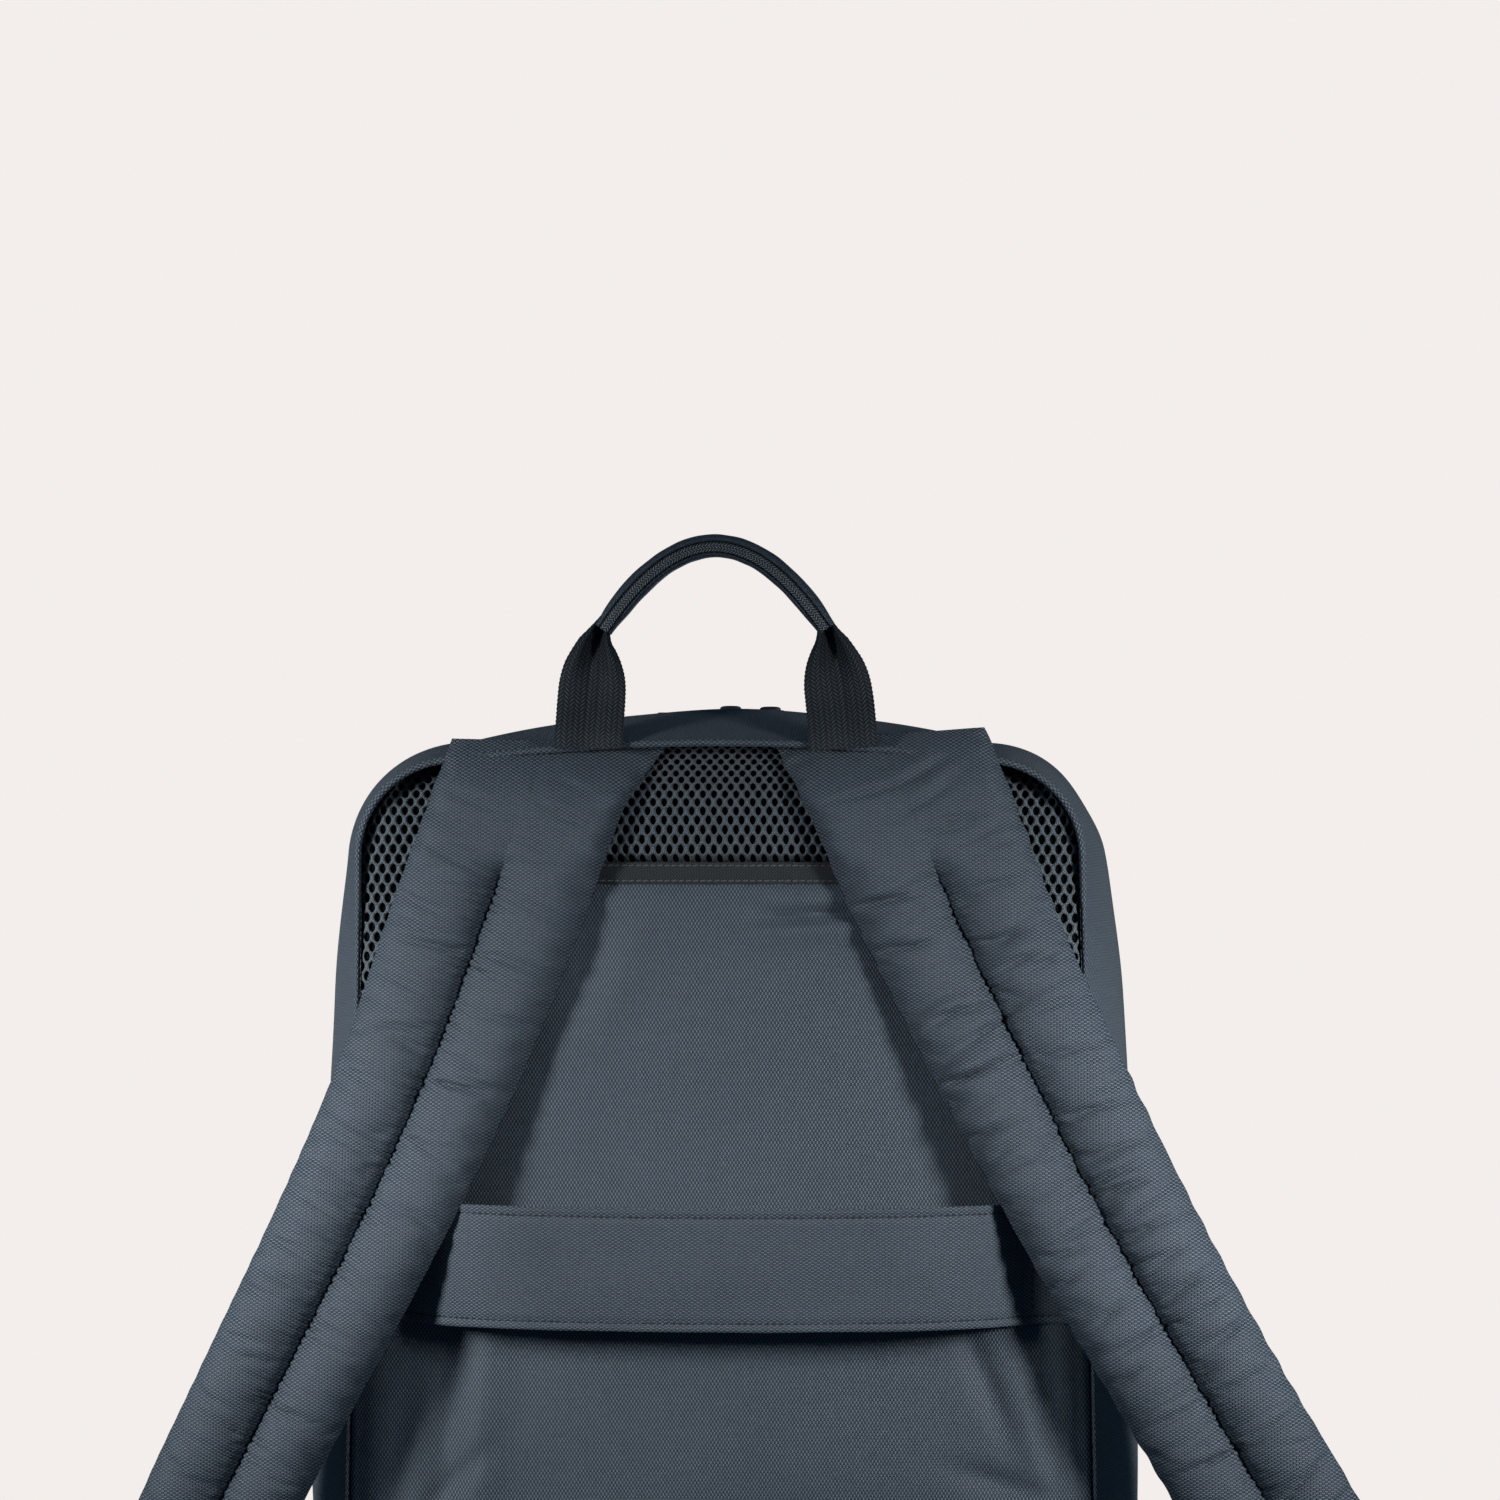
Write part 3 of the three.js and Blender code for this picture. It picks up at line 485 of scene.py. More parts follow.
def waver(at, length, seed, waves=4):
    """Irregular waves of about one length, from -1 to 1."""
    rng = np.random.default_rng(seed)
    lengths = length * rng.uniform(WAVES.shortest, WAVES.longest, waves)
    phases = rng.uniform(0, 2 * np.pi, waves)
    return sum(np.sin(2 * np.pi * at / l + p) for l, p in zip(lengths, phases)) / waves


def dapple(a, b, length, seed, waves=6):
    """Irregular waves over a surface: waver along lines in several seeded directions."""
    ways = np.random.default_rng(seed).uniform(0, np.pi, waves)
    lines = [waver(a * np.cos(way) + b * np.sin(way), length, seed + k, 2) for k, way in enumerate(ways)]
    return sum(lines) / waves * WAVES.dapple


# %% [markdown]
# The bag's body has one driving outline: the seam that runs from the hem up one side, over the top and down
# again. Both panels sit inside it and the gusset swells out from it, so all of them ask the same few
# functions.

# %% Body outline
CLOTH, EASE = 2, 2.3
BODY = Sizes(top=428.4, drop=6.4, top_half=100, corner=38, base_half=146, hem=2.8, hem_radius=14,
             back=-66, front_low=70, front_top=46, lean_from=190, crown=11)
SHOULDER = BODY.top - BODY.drop - BODY.corner
SHOULDER_HALF = BODY.top_half + BODY.corner
SIDE_SWELL = table("z swell", (0, 2), (40, 10), (133, 16), (240, 15.5), (331, 14.4), (384, 9), (422, 6.4))
TOP_SWELL = 12
SIDE_SAG = Sizes(deep=4, z=140, half=70)
SHOULDER_PINCH = Sizes(deep=3, z=402, half=14)
LIP = Sizes(reach=8, start=330, full=418, fade=0.25)


def hem_inset(z, inset=0):
    """How far the round bottom edge draws a wall in at height z."""
    radius = BODY.hem_radius - inset
    below = np.clip(BODY.hem_radius - z, 0, radius)
    return radius - np.sqrt(radius ** 2 - below ** 2)


def seam_half(z, inset=0):
    """Half the seam outline's width at height z, drawn in by inset."""
    radius = BODY.corner - inset
    above = np.clip(z - SHOULDER, 0, radius)
    side = lerp(BODY.base_half, SHOULDER_HALF, np.clip(z / SHOULDER, 0, 1))
    return side - inset - (radius - np.sqrt(radius ** 2 - above ** 2)) - hem_inset(z, inset)


def top_seam(x):
    return BODY.top - BODY.drop * (x / BODY.top_half) ** 2


def back_seam(z):
    return BODY.back + hem_inset(z)


def front_seam(z):
    return lerp(BODY.front_low, BODY.front_top, smooth(z, BODY.lean_from, BODY.top)) - hem_inset(z)


def outline(count):
    """Even points (x, z) along the seam from left hem to right hem, outward directions, length run."""
    turn = np.linspace(0, np.pi / 2, 60)
    z = np.concatenate([np.linspace(BODY.hem, SHOULDER, 300)[:-1], SHOULDER + BODY.corner * np.sin(turn)])
    left = np.stack([-seam_half(z), z], axis=-1)
    x = np.linspace(-BODY.top_half, BODY.top_half, 200)[1:-1]
    path = np.concatenate([left, np.stack([x, top_seam(x)], axis=-1), left[::-1] * (-1, 1)])
    run = line_run(path)
    even = np.linspace(0, run[-1], count)
    points = between(even, run, path)
    way = unit(np.gradient(points, axis=0))
    return points, np.stack([-way[:, 1], way[:, 0]], axis=-1), even


def swell(points):
    """How far the gusset bulges at the middle of its depth, at each outline point."""
    x, z = points.T
    over = (z > SHOULDER) & (np.abs(x) < BODY.top_half)
    top = lerp(TOP_SWELL, SIDE_SWELL["swell"][-1], (x / BODY.top_half) ** 2)
    sagged = SIDE_SAG.deep * hump(z - SIDE_SAG.z, SIDE_SAG.half) * (x < 0)
    drawn_in = SHOULDER_PINCH.deep * hump(z - SHOULDER_PINCH.z, SHOULDER_PINCH.half) * (x > 0)
    return np.where(over, top, read(SIDE_SWELL, "z", "swell", z) + sagged - drawn_in)


def lip(z):
    """How far the gusset's rear edge overhangs the back at height z."""
    return LIP.reach * smooth(z, LIP.start, LIP.full)


def gusset_points(seam, out, depth, sunk):
    """Seam point + outward x (swell x 4 d (1 - d) - sunk), at share d from back seam to front seam."""
    reach = (swell(seam)[:, None] * 4 * depth * (1 - depth)) - sunk
    flat = seam[:, None, :] + out[:, None, :] * reach[..., None]
    z = seam[:, 1:2]
    y = lerp(back_seam(z), front_seam(z), depth) - lip(z) * (1 - smooth(depth, 0, LIP.fade))
    return xyz(flat[..., 0], y, flat[..., 1])


print("body: seam outline", round(outline(400)[2][-1]), "mm long")

# %% [markdown]
# The gusset is the cloth wall round the sides and over the top. On the real bag it is two strips sewn to
# the zip's tapes and joined below them, where the joint covers the tape's end. Each strip is a loft of its
# cross line, with puckers where a seam gathers the cloth and slow waves where it hangs slack.

# %% Gusset
ZIP = Sizes(centre=0.57, half=11, start=130, recess=2.4, tape=1.4, sewn_in=0.5, coil_high=1.2,
            turn=1.6, bend=2.5)
GATHER = Sizes(high=0.5, length=9, reach=7, flat=1.5, seed=11)
DRAPE = Sizes(high=0.9, length=70, edge=25, seed=5)
GUSSET_STEPS = Sizes(along=520, strip=16, cover=2)
seam_points, seam_out, seam_run = outline(GUSSET_STEPS.along)


def zip_share(points, offset):
    """Share of the gusset's depth that lies offset in front of the zip's middle line."""
    z = points[:, 1]
    return ZIP.centre + offset / (front_seam(z) - back_seam(z))


def slack(run, depth, deep):
    """Gusset relief: slow waves all over, and short puckers that die away from both seams."""
    from_seam = np.minimum(depth, 1 - depth) * deep
    puckers = GATHER.high * np.exp(-from_seam / GATHER.reach) * waver(run, GATHER.length, GATHER.seed)
    puckers = puckers * (1 - np.exp(-from_seam / GATHER.flat))
    waves = DRAPE.high * dapple(run, depth * deep, DRAPE.length, DRAPE.seed)
    return puckers + waves * rolled(from_seam, DRAPE.edge)


def gusset_strip(first, last, edge_first, edge_last, start=0, end=None):
    """A strip between two depth shares; an edge flag of 1 turns that edge under beside the zip."""
    part = slice(start, end)
    depth = lerp(first[part, None], last[part, None], eased(GUSSET_STEPS.strip)[None, :])
    points, out, run = seam_points[part], seam_out[part], seam_run[part]
    deep = (front_seam(points[:, 1]) - back_seam(points[:, 1]))[:, None]
    from_first, from_last = (depth - first[part, None]) * deep, (last[part, None] - depth) * deep
    turned = ZIP.turn * edge_first * (1 - rolled(from_first, ZIP.bend))
    turned += ZIP.turn * edge_last * (1 - rolled(from_last, ZIP.bend))
    lift = slack(run[:, None], depth, deep)
    outer = gusset_points(points, out, depth, turned - lift)
    inner = gusset_points(points, out, depth, turned - lift + CLOTH)
    return wall(outer, inner, np.stack(np.broadcast_arrays(depth * deep, run[:, None]), axis=-1))


zip_back, zip_front = zip_share(seam_points, -ZIP.half), zip_share(seam_points, ZIP.half)
zip_begin = int(np.argmax(seam_points[:, 1] > ZIP.start))
joint_end = zip_begin + GUSSET_STEPS.cover
none, full = np.zeros_like(zip_back), np.ones_like(zip_back)
gusset = piece("gusset_cloth", [
    gusset_strip(none, zip_back, 0, 1),
    gusset_strip(zip_front, full, 1, 0),
    gusset_strip(zip_back, zip_front, 0, 0, 0, joint_end),
    gusset_strip(zip_back, zip_front, 0, 0, len(seam_points) - joint_end, None),
], NYLON, ["gusset"])

# %% [markdown]
# Padded cloth finds its own folds: a cover is cut a little larger than its foam, the seams hold it, and the
# foam pushes it out. Blender's Cloth does the same here. A coarse copy of a face is pinned along its seams,
# lightly held by the foam elsewhere, grown by a few per cent and blown up for twenty frames without
# gravity. How far each point moved is capped and added to the fine face, so that seams and stitches stay
# where they are sewn.

# %% Settling the cloth
SETTLE = Sizes(frames=20, scale=10, mass=0.05, quality=6, stretch=15, bend=0.05, foam=0.04, pressure=4)


def hat_weights(chosen, count):
    """One column for each chosen number: straight-line weights from the chosen numbers to all numbers."""
    return np.stack([np.interp(np.arange(count), chosen, row) for row in np.eye(len(chosen))], axis=1)


def soften(values, passes=2):
    """Each value becomes a quarter of both neighbours and half of itself, along both directions of a grid."""
    for axis in (0, 1) * passes:
        ends = [(1, 1) if k == axis else (0, 0) for k in range(values.ndim)]
        padded = np.moveaxis(np.pad(values, ends, mode="edge"), axis, 0)
        values = np.moveaxis(padded[:-2] / 4 + padded[1:-1] / 2 + padded[2:] / 4, 0, axis)
    return values


def run_cloth(points, faces, held, growth, pressure):
    """Points in millimetres after the run; held points stay, the others are tied softly to their places."""
    mesh = bpy.data.meshes.new("settling")
    mesh.from_pydata((points * MM * SETTLE.scale).tolist(), [], faces.tolist())
    cover = bpy.data.objects.new("settling", mesh)
    scene.collection.objects.link(cover)
    ties = cover.vertex_groups.new(name="ties")
    ties.add(np.flatnonzero(held).tolist(), 1.0, "REPLACE")
    ties.add(np.flatnonzero(~held).tolist(), SETTLE.foam, "REPLACE")
    cloth = cover.modifiers.new("cloth", "CLOTH")
    cloth.settings.quality, cloth.settings.mass = SETTLE.quality, SETTLE.mass
    cloth.settings.tension_stiffness = cloth.settings.compression_stiffness = SETTLE.stretch
    cloth.settings.shear_stiffness, cloth.settings.bending_stiffness = SETTLE.stretch / 3, SETTLE.bend
    cloth.settings.vertex_group_mass = ties.name
    cloth.settings.use_pressure, cloth.settings.uniform_pressure_force = True, pressure
    cloth.settings.shrink_min = -growth
    cloth.settings.effector_weights.gravity = 0
    cloth.collision_settings.use_collision = False
    cloth.point_cache.frame_end = SETTLE.frames
    for number in range(1, SETTLE.frames + 1):
        scene.frame_set(number)
    shaped = cover.evaluated_get(bpy.context.evaluated_depsgraph_get()).data
    after = np.empty(points.size, dtype=np.float32)
    shaped.vertices.foreach_get("co", after)
    bpy.data.objects.remove(cover)
    scene.frame_set(1)
    return after.reshape(points.shape) / (MM * SETTLE.scale)


def settled(face, held, growth, cap, every, towards):
    """The face with its settled folds: movement m becomes cap x tanh(m / cap).

    Only every so many rows and columns take part, and towards is the way that the foam pushes."""
    chosen = [np.unique(np.append(np.arange(0, n, step), n - 1)) for n, step in zip(face.shape, every)]
    coarse = face[np.ix_(*chosen)]
    points, faces, _ = grid(coarse)
    facing = np.cross(np.gradient(coarse, axis=0), np.gradient(coarse, axis=1)).mean(axis=(0, 1)) @ towards
    pressure = SETTLE.pressure * np.sign(facing)
    after = run_cloth(points, faces, held[np.ix_(*chosen)].ravel(), growth, pressure)
    moved = (after - points).reshape(coarse.shape)
    far = np.linalg.norm(moved, axis=-1, keepdims=True)
    moved *= cap * np.tanh(far / cap) / np.maximum(far, 1e-6)
    print(f"settled: {len(points)} points, moved {far.mean():.2f} mm on average, {far.max():.1f} mm at most")
    weights = [hat_weights(numbers, n) for numbers, n in zip(chosen, face.shape)]
    return face + soften(np.einsum("ai,ijk,bj->abk", weights[0], moved, weights[1]))


# %% [markdown]
# The padded back is two patches that meet on a taped seam: air mesh above, woven nylon below. A foam pad
# under cloth has a flat middle and rolled edges, so its height is the least of several quarter rounds, one
# for each edge.

# %% Padded back
PAD = Sizes(inner=3.5, least=1.2, puff=5, edge=16, seam_share=0.45, growth=0.02, cap=2.2, sewn=5)
MESH_PAD = Sizes(tuck_side=0.2, tuck_top=1.8, tuck_run=38, tuck_power=3.2, tuck_tape=0.8, tape_gap=0.3,
                 roll=6, middle=0.3, middle_half=45)
YOKE = Sizes(seam=378.4, drop=84, flat_half=48, tape=8.4, tape_thick=1.2, tape_lift=0.9)
SEAM_GATHER = Sizes(high=0.6, reach=8, length=6, flat=4, seed=21)
PANEL_WAVE = Sizes(high=1.1, length=80, edge=40, seed=31)
FOLDS = table("x z along across degrees depth",
              (36, 362, 24, 2.6, 4, 4.6), (34, 357, 26, 5, 3, -2), (10, 366, 14, 4, -16, 2.4),
              (-48, 345, 22, 8, 72, 3), (-38, 338, 24, 7, 66, -1.5), (-58, 372, 10, 4, 40, 1.4),
              (-104, 172, 60, 7, 86, 4.5), (-89, 170, 60, 8, 86, -3), (-122, 150, 50, 7, 80, 3),
              (-99, 149, 16, 4, 45, 3), (101, 185, 22, 4.5, 112, 4), (112, 182, 34, 7, 106, -2.4),
              (126, 175, 40, 7, 96, 3), (106, 148, 18, 4.5, -17, 3.6),
              (70, 345, 22, 9, 105, 2), (0, 120, 80, 22, 4, 1.2), (-40, 60, 60, 18, 14, 1.2))


def yoke_line(x):
    return YOKE.seam - YOKE.drop * smooth(np.abs(x), YOKE.flat_half, SHOULDER_HALF)


def fold_depth(x, z):
    """Sum over the table of depth x a bell along the fold x a bell across it."""
    total = np.zeros_like(x)
    for fx, fz, along, across, degrees, depth in zip(*FOLDS.values()):
        turn = np.radians(degrees)
        s = (x - fx) * np.cos(turn) + (z - fz) * np.sin(turn)
        d = (z - fz) * np.cos(turn) - (x - fx) * np.sin(turn)
        total += depth * hump(s, along) * hump(d, across)
    return total


def pad_height(x, z, above):
    """Pad height at (x, z): the least of the quarter rounds at the sides, the far edge and the yoke seam.

    The mesh is tucked in below the seam plane along the outline, so its rounds start lower."""
    sides = rolled(seam_half(z, EASE) - np.abs(x), PAD.edge)
    far = top_seam(np.clip(x, -BODY.top_half, BODY.top_half)) - EASE - z if above else z - BODY.hem
    if above:
        crown = 1 + MESH_PAD.middle * hump(x, MESH_PAD.middle_half)
        from_tape = z - yoke_line(x) - YOKE.tape / 2 - MESH_PAD.tape_gap
        tucked = (1 - np.clip(far / MESH_PAD.tuck_run, 0, 1)) ** MESH_PAD.tuck_power
        sides = lerp(-MESH_PAD.tuck_side, 1, sides)
        far = lerp(1, -MESH_PAD.tuck_top, tucked) * crown
        near = lerp(-MESH_PAD.tuck_tape, crown, rolled(from_tape, MESH_PAD.roll))
    else:
        far = rolled(far, PAD.edge)
        near = lerp(PAD.seam_share, 1, rolled(yoke_line(x) - z, PAD.edge))
    return PAD.puff * np.minimum(np.minimum(sides, far), near)


def patch(columns, rows, above, inset=EASE):
    """x = u x half width and z between the patch's lower and upper edges, finer towards the rolled edges."""
    u = (2 * eased(columns) - 1)[:, None]
    t = eased(rows)[None, :]
    top_edge = top_seam(u * BODY.top_half) - inset
    seam = yoke_line(u * SHOULDER_HALF)
    lower, upper = (seam, top_edge) if above else (np.full_like(seam, BODY.hem), seam)
    edge = lerp(lower[-1], upper[-1], t)
    return u * seam_half(edge, inset), lerp(lower, upper, t)


def padded_patch(x, z, height, growth=0, cap=0):
    """A solid whose face stands height out from the back seam plane; its rear is flat but for deep tucks."""
    face = xyz(x, back_seam(z) - height, z)
    rear = xyz(x, back_seam(z) + np.maximum(PAD.inner, PAD.least - height), z)
    if growth:
        from_ends = np.minimum(yoke_line(x) - z, z - BODY.hem)
        from_sides = seam_half(z, EASE) - np.abs(x)
        held = np.minimum(from_ends, from_sides) < PAD.sewn
        face = settled(face, held, growth, cap, (2, 2), OUT)
    return wall(face, rear, np.stack([x, z], axis=-1))


panel_x, panel_z = patch(columns=130, rows=170, above=False)
to_seam = yoke_line(panel_x) - panel_z
gathers = SEAM_GATHER.high * np.exp(-to_seam / SEAM_GATHER.reach)
gathers *= waver(panel_x, SEAM_GATHER.length, SEAM_GATHER.seed)
gathers *= smooth(to_seam, 0, SEAM_GATHER.flat)
ease_waves = PANEL_WAVE.high * dapple(panel_x, panel_z, PANEL_WAVE.length, PANEL_WAVE.seed)
ease_waves *= rolled(to_seam, PANEL_WAVE.edge)
panel_height = pad_height(panel_x, panel_z, above=False)
panel_relief = (gathers + ease_waves - fold_depth(panel_x, panel_z)) * panel_height / PAD.puff
panel_shape = padded_patch(panel_x, panel_z, panel_height + panel_relief, PAD.growth, PAD.cap)
back_panel = piece("back_cloth", [panel_shape], NYLON, ["back_panel"])

# %% [markdown]
# Air mesh is a knit with open cells. Its holes are what makes it look like mesh, so they are real: a
# honeycomb of cells, each a set of rings from the cell's edge, where the yarn is highest, over the hole's
# rim and down its wall. The rings of all cells are one array. Points that neighbours share are merged, and
# dark foam lies underneath.

# %% Mesh yoke
MESH = Sizes(pitch=4.2, row=3.1, hole_half=1.15, hole_high=1.62, hole_power=1.3, edge=0.9, padding=2.4,
             stretch=1.2, squeeze=0.6, squeeze_from=392, spare=20, under_tape=1)
CELL_RINGS = table("share drop", (0, 0), (0.4, 0.14), (0.8, 0.5), (1, 1), (0.97, 2.8))


def cell_corners():
    """Twelve points round a honeycomb cell, from the top: six corners and the middles of its six sides."""
    half, rise = MESH.pitch / 2, MESH.pitch ** 2 / (8 * MESH.row)
    near, far = MESH.row / 2 - rise, MESH.row / 2 + rise
    corners = np.array([(0, far), (-half, near), (-half, -near), (0, -far), (half, -near), (half, near)])
    middles = (corners + np.roll(corners, -1, axis=0)) / 2
    return np.stack([corners, middles], axis=1).reshape(-1, 2)


def knit_height(at):
    """Height of a place in the flat knit: its courses are pulled long over the bulge and close at the top."""
    z = np.linspace(YOKE.seam - YOKE.drop, BODY.top, 400)
    scale = lerp(MESH.stretch, MESH.squeeze, smooth(z, MESH.squeeze_from, BODY.top))
    flat = z[0] + summed(np.diff(z) / scale[1:])
    return np.interp(at, flat, z)


def mesh_cells():
    """Cell middles on a flat honeycomb whose stretched places lie inside the yoke's edges."""
    rows = np.arange(YOKE.seam - YOKE.drop, BODY.top + MESH.spare, MESH.row)
    reach = np.ceil(SHOULDER_HALF / MESH.pitch)
    columns = np.arange(-reach, reach) * MESH.pitch
    x = columns[:, None] + (np.arange(len(rows)) % 2)[None, :] * MESH.pitch / 2
    course = np.broadcast_to(rows[None, :], x.shape)
    z = knit_height(course)
    inside = (z > yoke_line(x) + YOKE.tape / 2 - MESH.under_tape) & (np.abs(x) < seam_half(z, MESH.edge))
    inside &= z < top_seam(np.clip(x, -BODY.top_half, BODY.top_half)) - MESH.edge
    return np.stack([x[inside], course[inside]], axis=-1)


def air_mesh():
    """Rings of every cell: lerp from cell edge to hole rim, sunk by the table's drop below the pad's face."""
    corners = cell_corners()
    turn = np.arctan2(corners[:, 1] / MESH.hole_high, corners[:, 0] / MESH.hole_half)
    pointed = pushed(np.cos(turn), MESH.hole_power)
    rim = np.stack([MESH.hole_half * pointed, MESH.hole_high * np.sin(turn)], axis=-1)
    share = CELL_RINGS["share"][:, None, None]
    cells = mesh_cells()
    flat = cells[:, None, None, :] + lerp(corners, rim, share)[None]
    x, z = flat[..., 0], knit_height(flat[..., 1])
    height = pad_height(x, z, above=True) - CELL_RINGS["drop"][None, :, None]
    points = xyz(x, back_seam(z) - height, z)
    rings, size = len(CELL_RINGS["share"]), len(corners)
    _, faces, uvs = grid(points[0], loop_v=True)
    starts = (np.arange(len(cells)) * rings * size)[:, None, None]
    faces = (faces[None] + starts).reshape(-1, 4)
    points = points.reshape(-1, 3)
    _, kept, merged = np.unique(np.round(points, 3), axis=0, return_index=True, return_inverse=True)
    print("air mesh:", len(cells), "cells")
    return points[kept], merged.reshape(-1)[faces], np.tile(uvs, (len(cells), 1, 1))


yoke_x, yoke_z = patch(columns=70, rows=50, above=True, inset=0.4)
piece("yoke_air_mesh", [air_mesh()], AIR_MESH, ["mesh_yoke"], crease=80)
yoke_height = pad_height(yoke_x, yoke_z, above=True) - MESH.padding
yoke_pad = piece("yoke_padding", [padded_patch(yoke_x, yoke_z, yoke_height)], FOAM)

# %% [markdown]
# Thread is modelled too. A stitch is a short bead with round ends, and hundreds of them share one small
# template that is turned and placed as whole arrays. A row of stitches only needs the line it follows and
# its upward side.

# %% Stitches
STITCH_SIZE = Sizes(length=2.2, width=0.62, height=0.5, pitch=2.7)
BEAD_STATIONS = table("along round", (-1, 0.35), (-0.7, 0.85), (0, 1), (0.7, 0.85), (1, 0.35))


def bead_template(around=6):
    """Rings of a rounded rod of half length 1 and half thickness 1."""
    turn = turns(around)
    along, wide = BEAD_STATIONS["along"][:, None], BEAD_STATIONS["round"][:, None]
    return loft(xyz(along, wide * np.cos(turn), wide * np.sin(turn)))


def beads(centres, along, up, size):
    """The template at every centre: along x half length + side x half width + up x half height."""
    points, faces, uvs = bead_template()
    along = unit(along)
    side = unit(np.cross(up, along))
    axes = np.stack([along * size.length, side * size.width, np.cross(along, side) * size.height], axis=1) / 2
    placed = centres[:, None, :] + np.einsum("pk,nkd->npd", points, axes)
    numbers = faces[None] + (np.arange(len(centres)) * len(points))[:, None, None]
    return placed.reshape(-1, 3), numbers.reshape(-1, 4), np.tile(uvs, (len(centres), 1, 1))


def spaced(line, up, start, pitch):
    """Places one pitch apart along a line of points, with the upward side and the line's way at each."""
    run = line_run(line)
    spots = np.arange(start, run[-1], pitch)
    wanted = line, np.broadcast_to(up, line.shape), np.gradient(line, run, axis=0)
    return [between(spots, run, values) for values in wanted]


def stitch_row(line, up, size=STITCH_SIZE, slant=0.12):
    """Beads spaced one pitch apart along a line of points, each turned a little across the line."""
    places, raised, way = spaced(line, up, size.pitch / 2, size.pitch)
    return beads(places, way + slant * np.cross(raised, way), raised, size)


# %% [markdown]
# The tape over the yoke seam is a narrow ribbed ribbon, sewn down along both edges. It follows the seam's
# curve, dips a little into the seam, and its edges are drawn in between the stitches.

# %% Yoke tape
RIBBON = Sizes(row=2.9, row_deep=0.35, row_half=0.7, row_gap=5, rise=0.15, end_gap=4, scallop=0.18,
               edge_deep=0.5, edge=0.7, thread=0.1)


def tape_face(x, offset):
    """A point on the tape's face, at a distance above the seam line."""
    z = yoke_line(x) + offset
    near = PAD.seam_share + RIBBON.rise
    side = rolled(seam_half(yoke_line(SHOULDER_HALF), EASE) - np.abs(x), PAD.edge)
    sewn = RIBBON.row_deep * hump(np.abs(offset) - RIBBON.row, RIBBON.row_half)
    y = back_seam(z) - PAD.puff * np.minimum(near, side) - YOKE.tape_lift - YOKE.tape_thick + sewn
    return xyz(x, y, z)


def yoke_tape():
    """Cross lines of the tape, face and rear, carried across the back."""
    end = SHOULDER_HALF - RIBBON.end_gap
    x = np.linspace(-end, end, 260)[:, None]
    share = np.sin(np.linspace(-np.pi / 2, np.pi / 2, 18))[None, :]
    offset = share * (YOKE.tape / 2 + RIBBON.scallop * waver(x, length=5, seed=41))
    face = tape_face(x, offset)
    rear = face + (0, YOKE.tape_thick, 0)
    face[..., 1] += RIBBON.edge_deep * (1 - rolled(YOKE.tape / 2 - np.abs(offset), RIBBON.edge))
    return wall(face, rear)


piece("yoke_tape_ribbon", [yoke_tape()], TAPE, ["yoke_tape"])
tape_end = SHOULDER_HALF - RIBBON.row_gap
tape_line = np.linspace(-tape_end, tape_end, 300)
tape_lines = [tape_face(tape_line, row) for row in (-RIBBON.row, RIBBON.row)]
tape_rows = [stitch_row(line + OUT * RIBBON.thread, OUT) for line in tape_lines]
piece("tape_stitches", tape_rows, GREY_STITCH)

# %% [markdown]
# Where the gusset meets the back, its edge is turned over a cord-like seam allowance. From the wearer's
# side this reads as a puckered roll round the whole outline. It is a tube along the seam whose radius
# swells between stitches. A slimmer roll closes the front panel.

# %% Rolled seams
HEM = Sizes(top=1.3, side=0.9, front=1.6, inset=0.6, pucker=0.16, pucker_length=6, swell=0.08,
            swell_length=17, rise_from=40, rise_to=20, back_out=0.1, front_out=0.6)


def tube(centres, across, other, radius, closed=False, around=12):
    """Centre + radius x (cosine x across + sine x other) round a path."""
    turn = turns(around)[None, :, None]
    rings = np.cos(turn) * across[:, None, :] + np.sin(turn) * other[:, None, :]
    return loft(centres[:, None, :] + rings * radius[:, None, None], closed=closed)


def seam_roll(y_of, radius, seed):
    """A puckered tube along the seam outline, at the depth that y_of gives for each height."""
    points, out, run = outline(700)
    flat = points - out * HEM.inset
    centres = xyz(flat[:, 0], y_of(points[:, 1]), flat[:, 1])
    across = xyz(out[:, 0], 0, out[:, 1])
    puckers = HEM.pucker * waver(run, HEM.pucker_length, seed)
    swells = HEM.swell * waver(run, HEM.swell_length, seed + 1)
    return tube(centres, across, np.broadcast_to(-OUT, across.shape), radius(points) * (1 + puckers + swells))


def back_radius(points):
    return lerp(HEM.side, HEM.top, smooth(points[:, 1], SHOULDER - HEM.rise_from, SHOULDER + HEM.rise_to))


def front_radius(points):
    return np.full(len(points), HEM.front)


back_roll = seam_roll(lambda z: back_seam(z) - lip(z) - HEM.back_out, back_radius, seed=51)
front_roll = seam_roll(lambda z: front_seam(z) + HEM.front_out, front_radius, seed=52)
piece("back_seam_roll", [back_roll], NYLON)
piece("front_seam_roll", [front_roll], NYLON)

# %% [markdown]
# The front and the base don't show in the photograph, so they are plain: one crowned panel with a few slack
# waves, and one flat panel to stand on. Both are walls of cloth with the outline's own edges.

# %% Front panel and base
FRONT = Sizes(sewn_share=0.06, growth=0.025, cap=3, wide_wave=1.6, wide_length=110, small_wave=0.7,
              small_length=38)
FRONT_SAGS = table("deep z slope half", (2.2, 70, 0.1, 14), (1.4, 150, -0.06, 18))
BASE = Sizes(bend=2.5, under=0.9, drop=0.3)


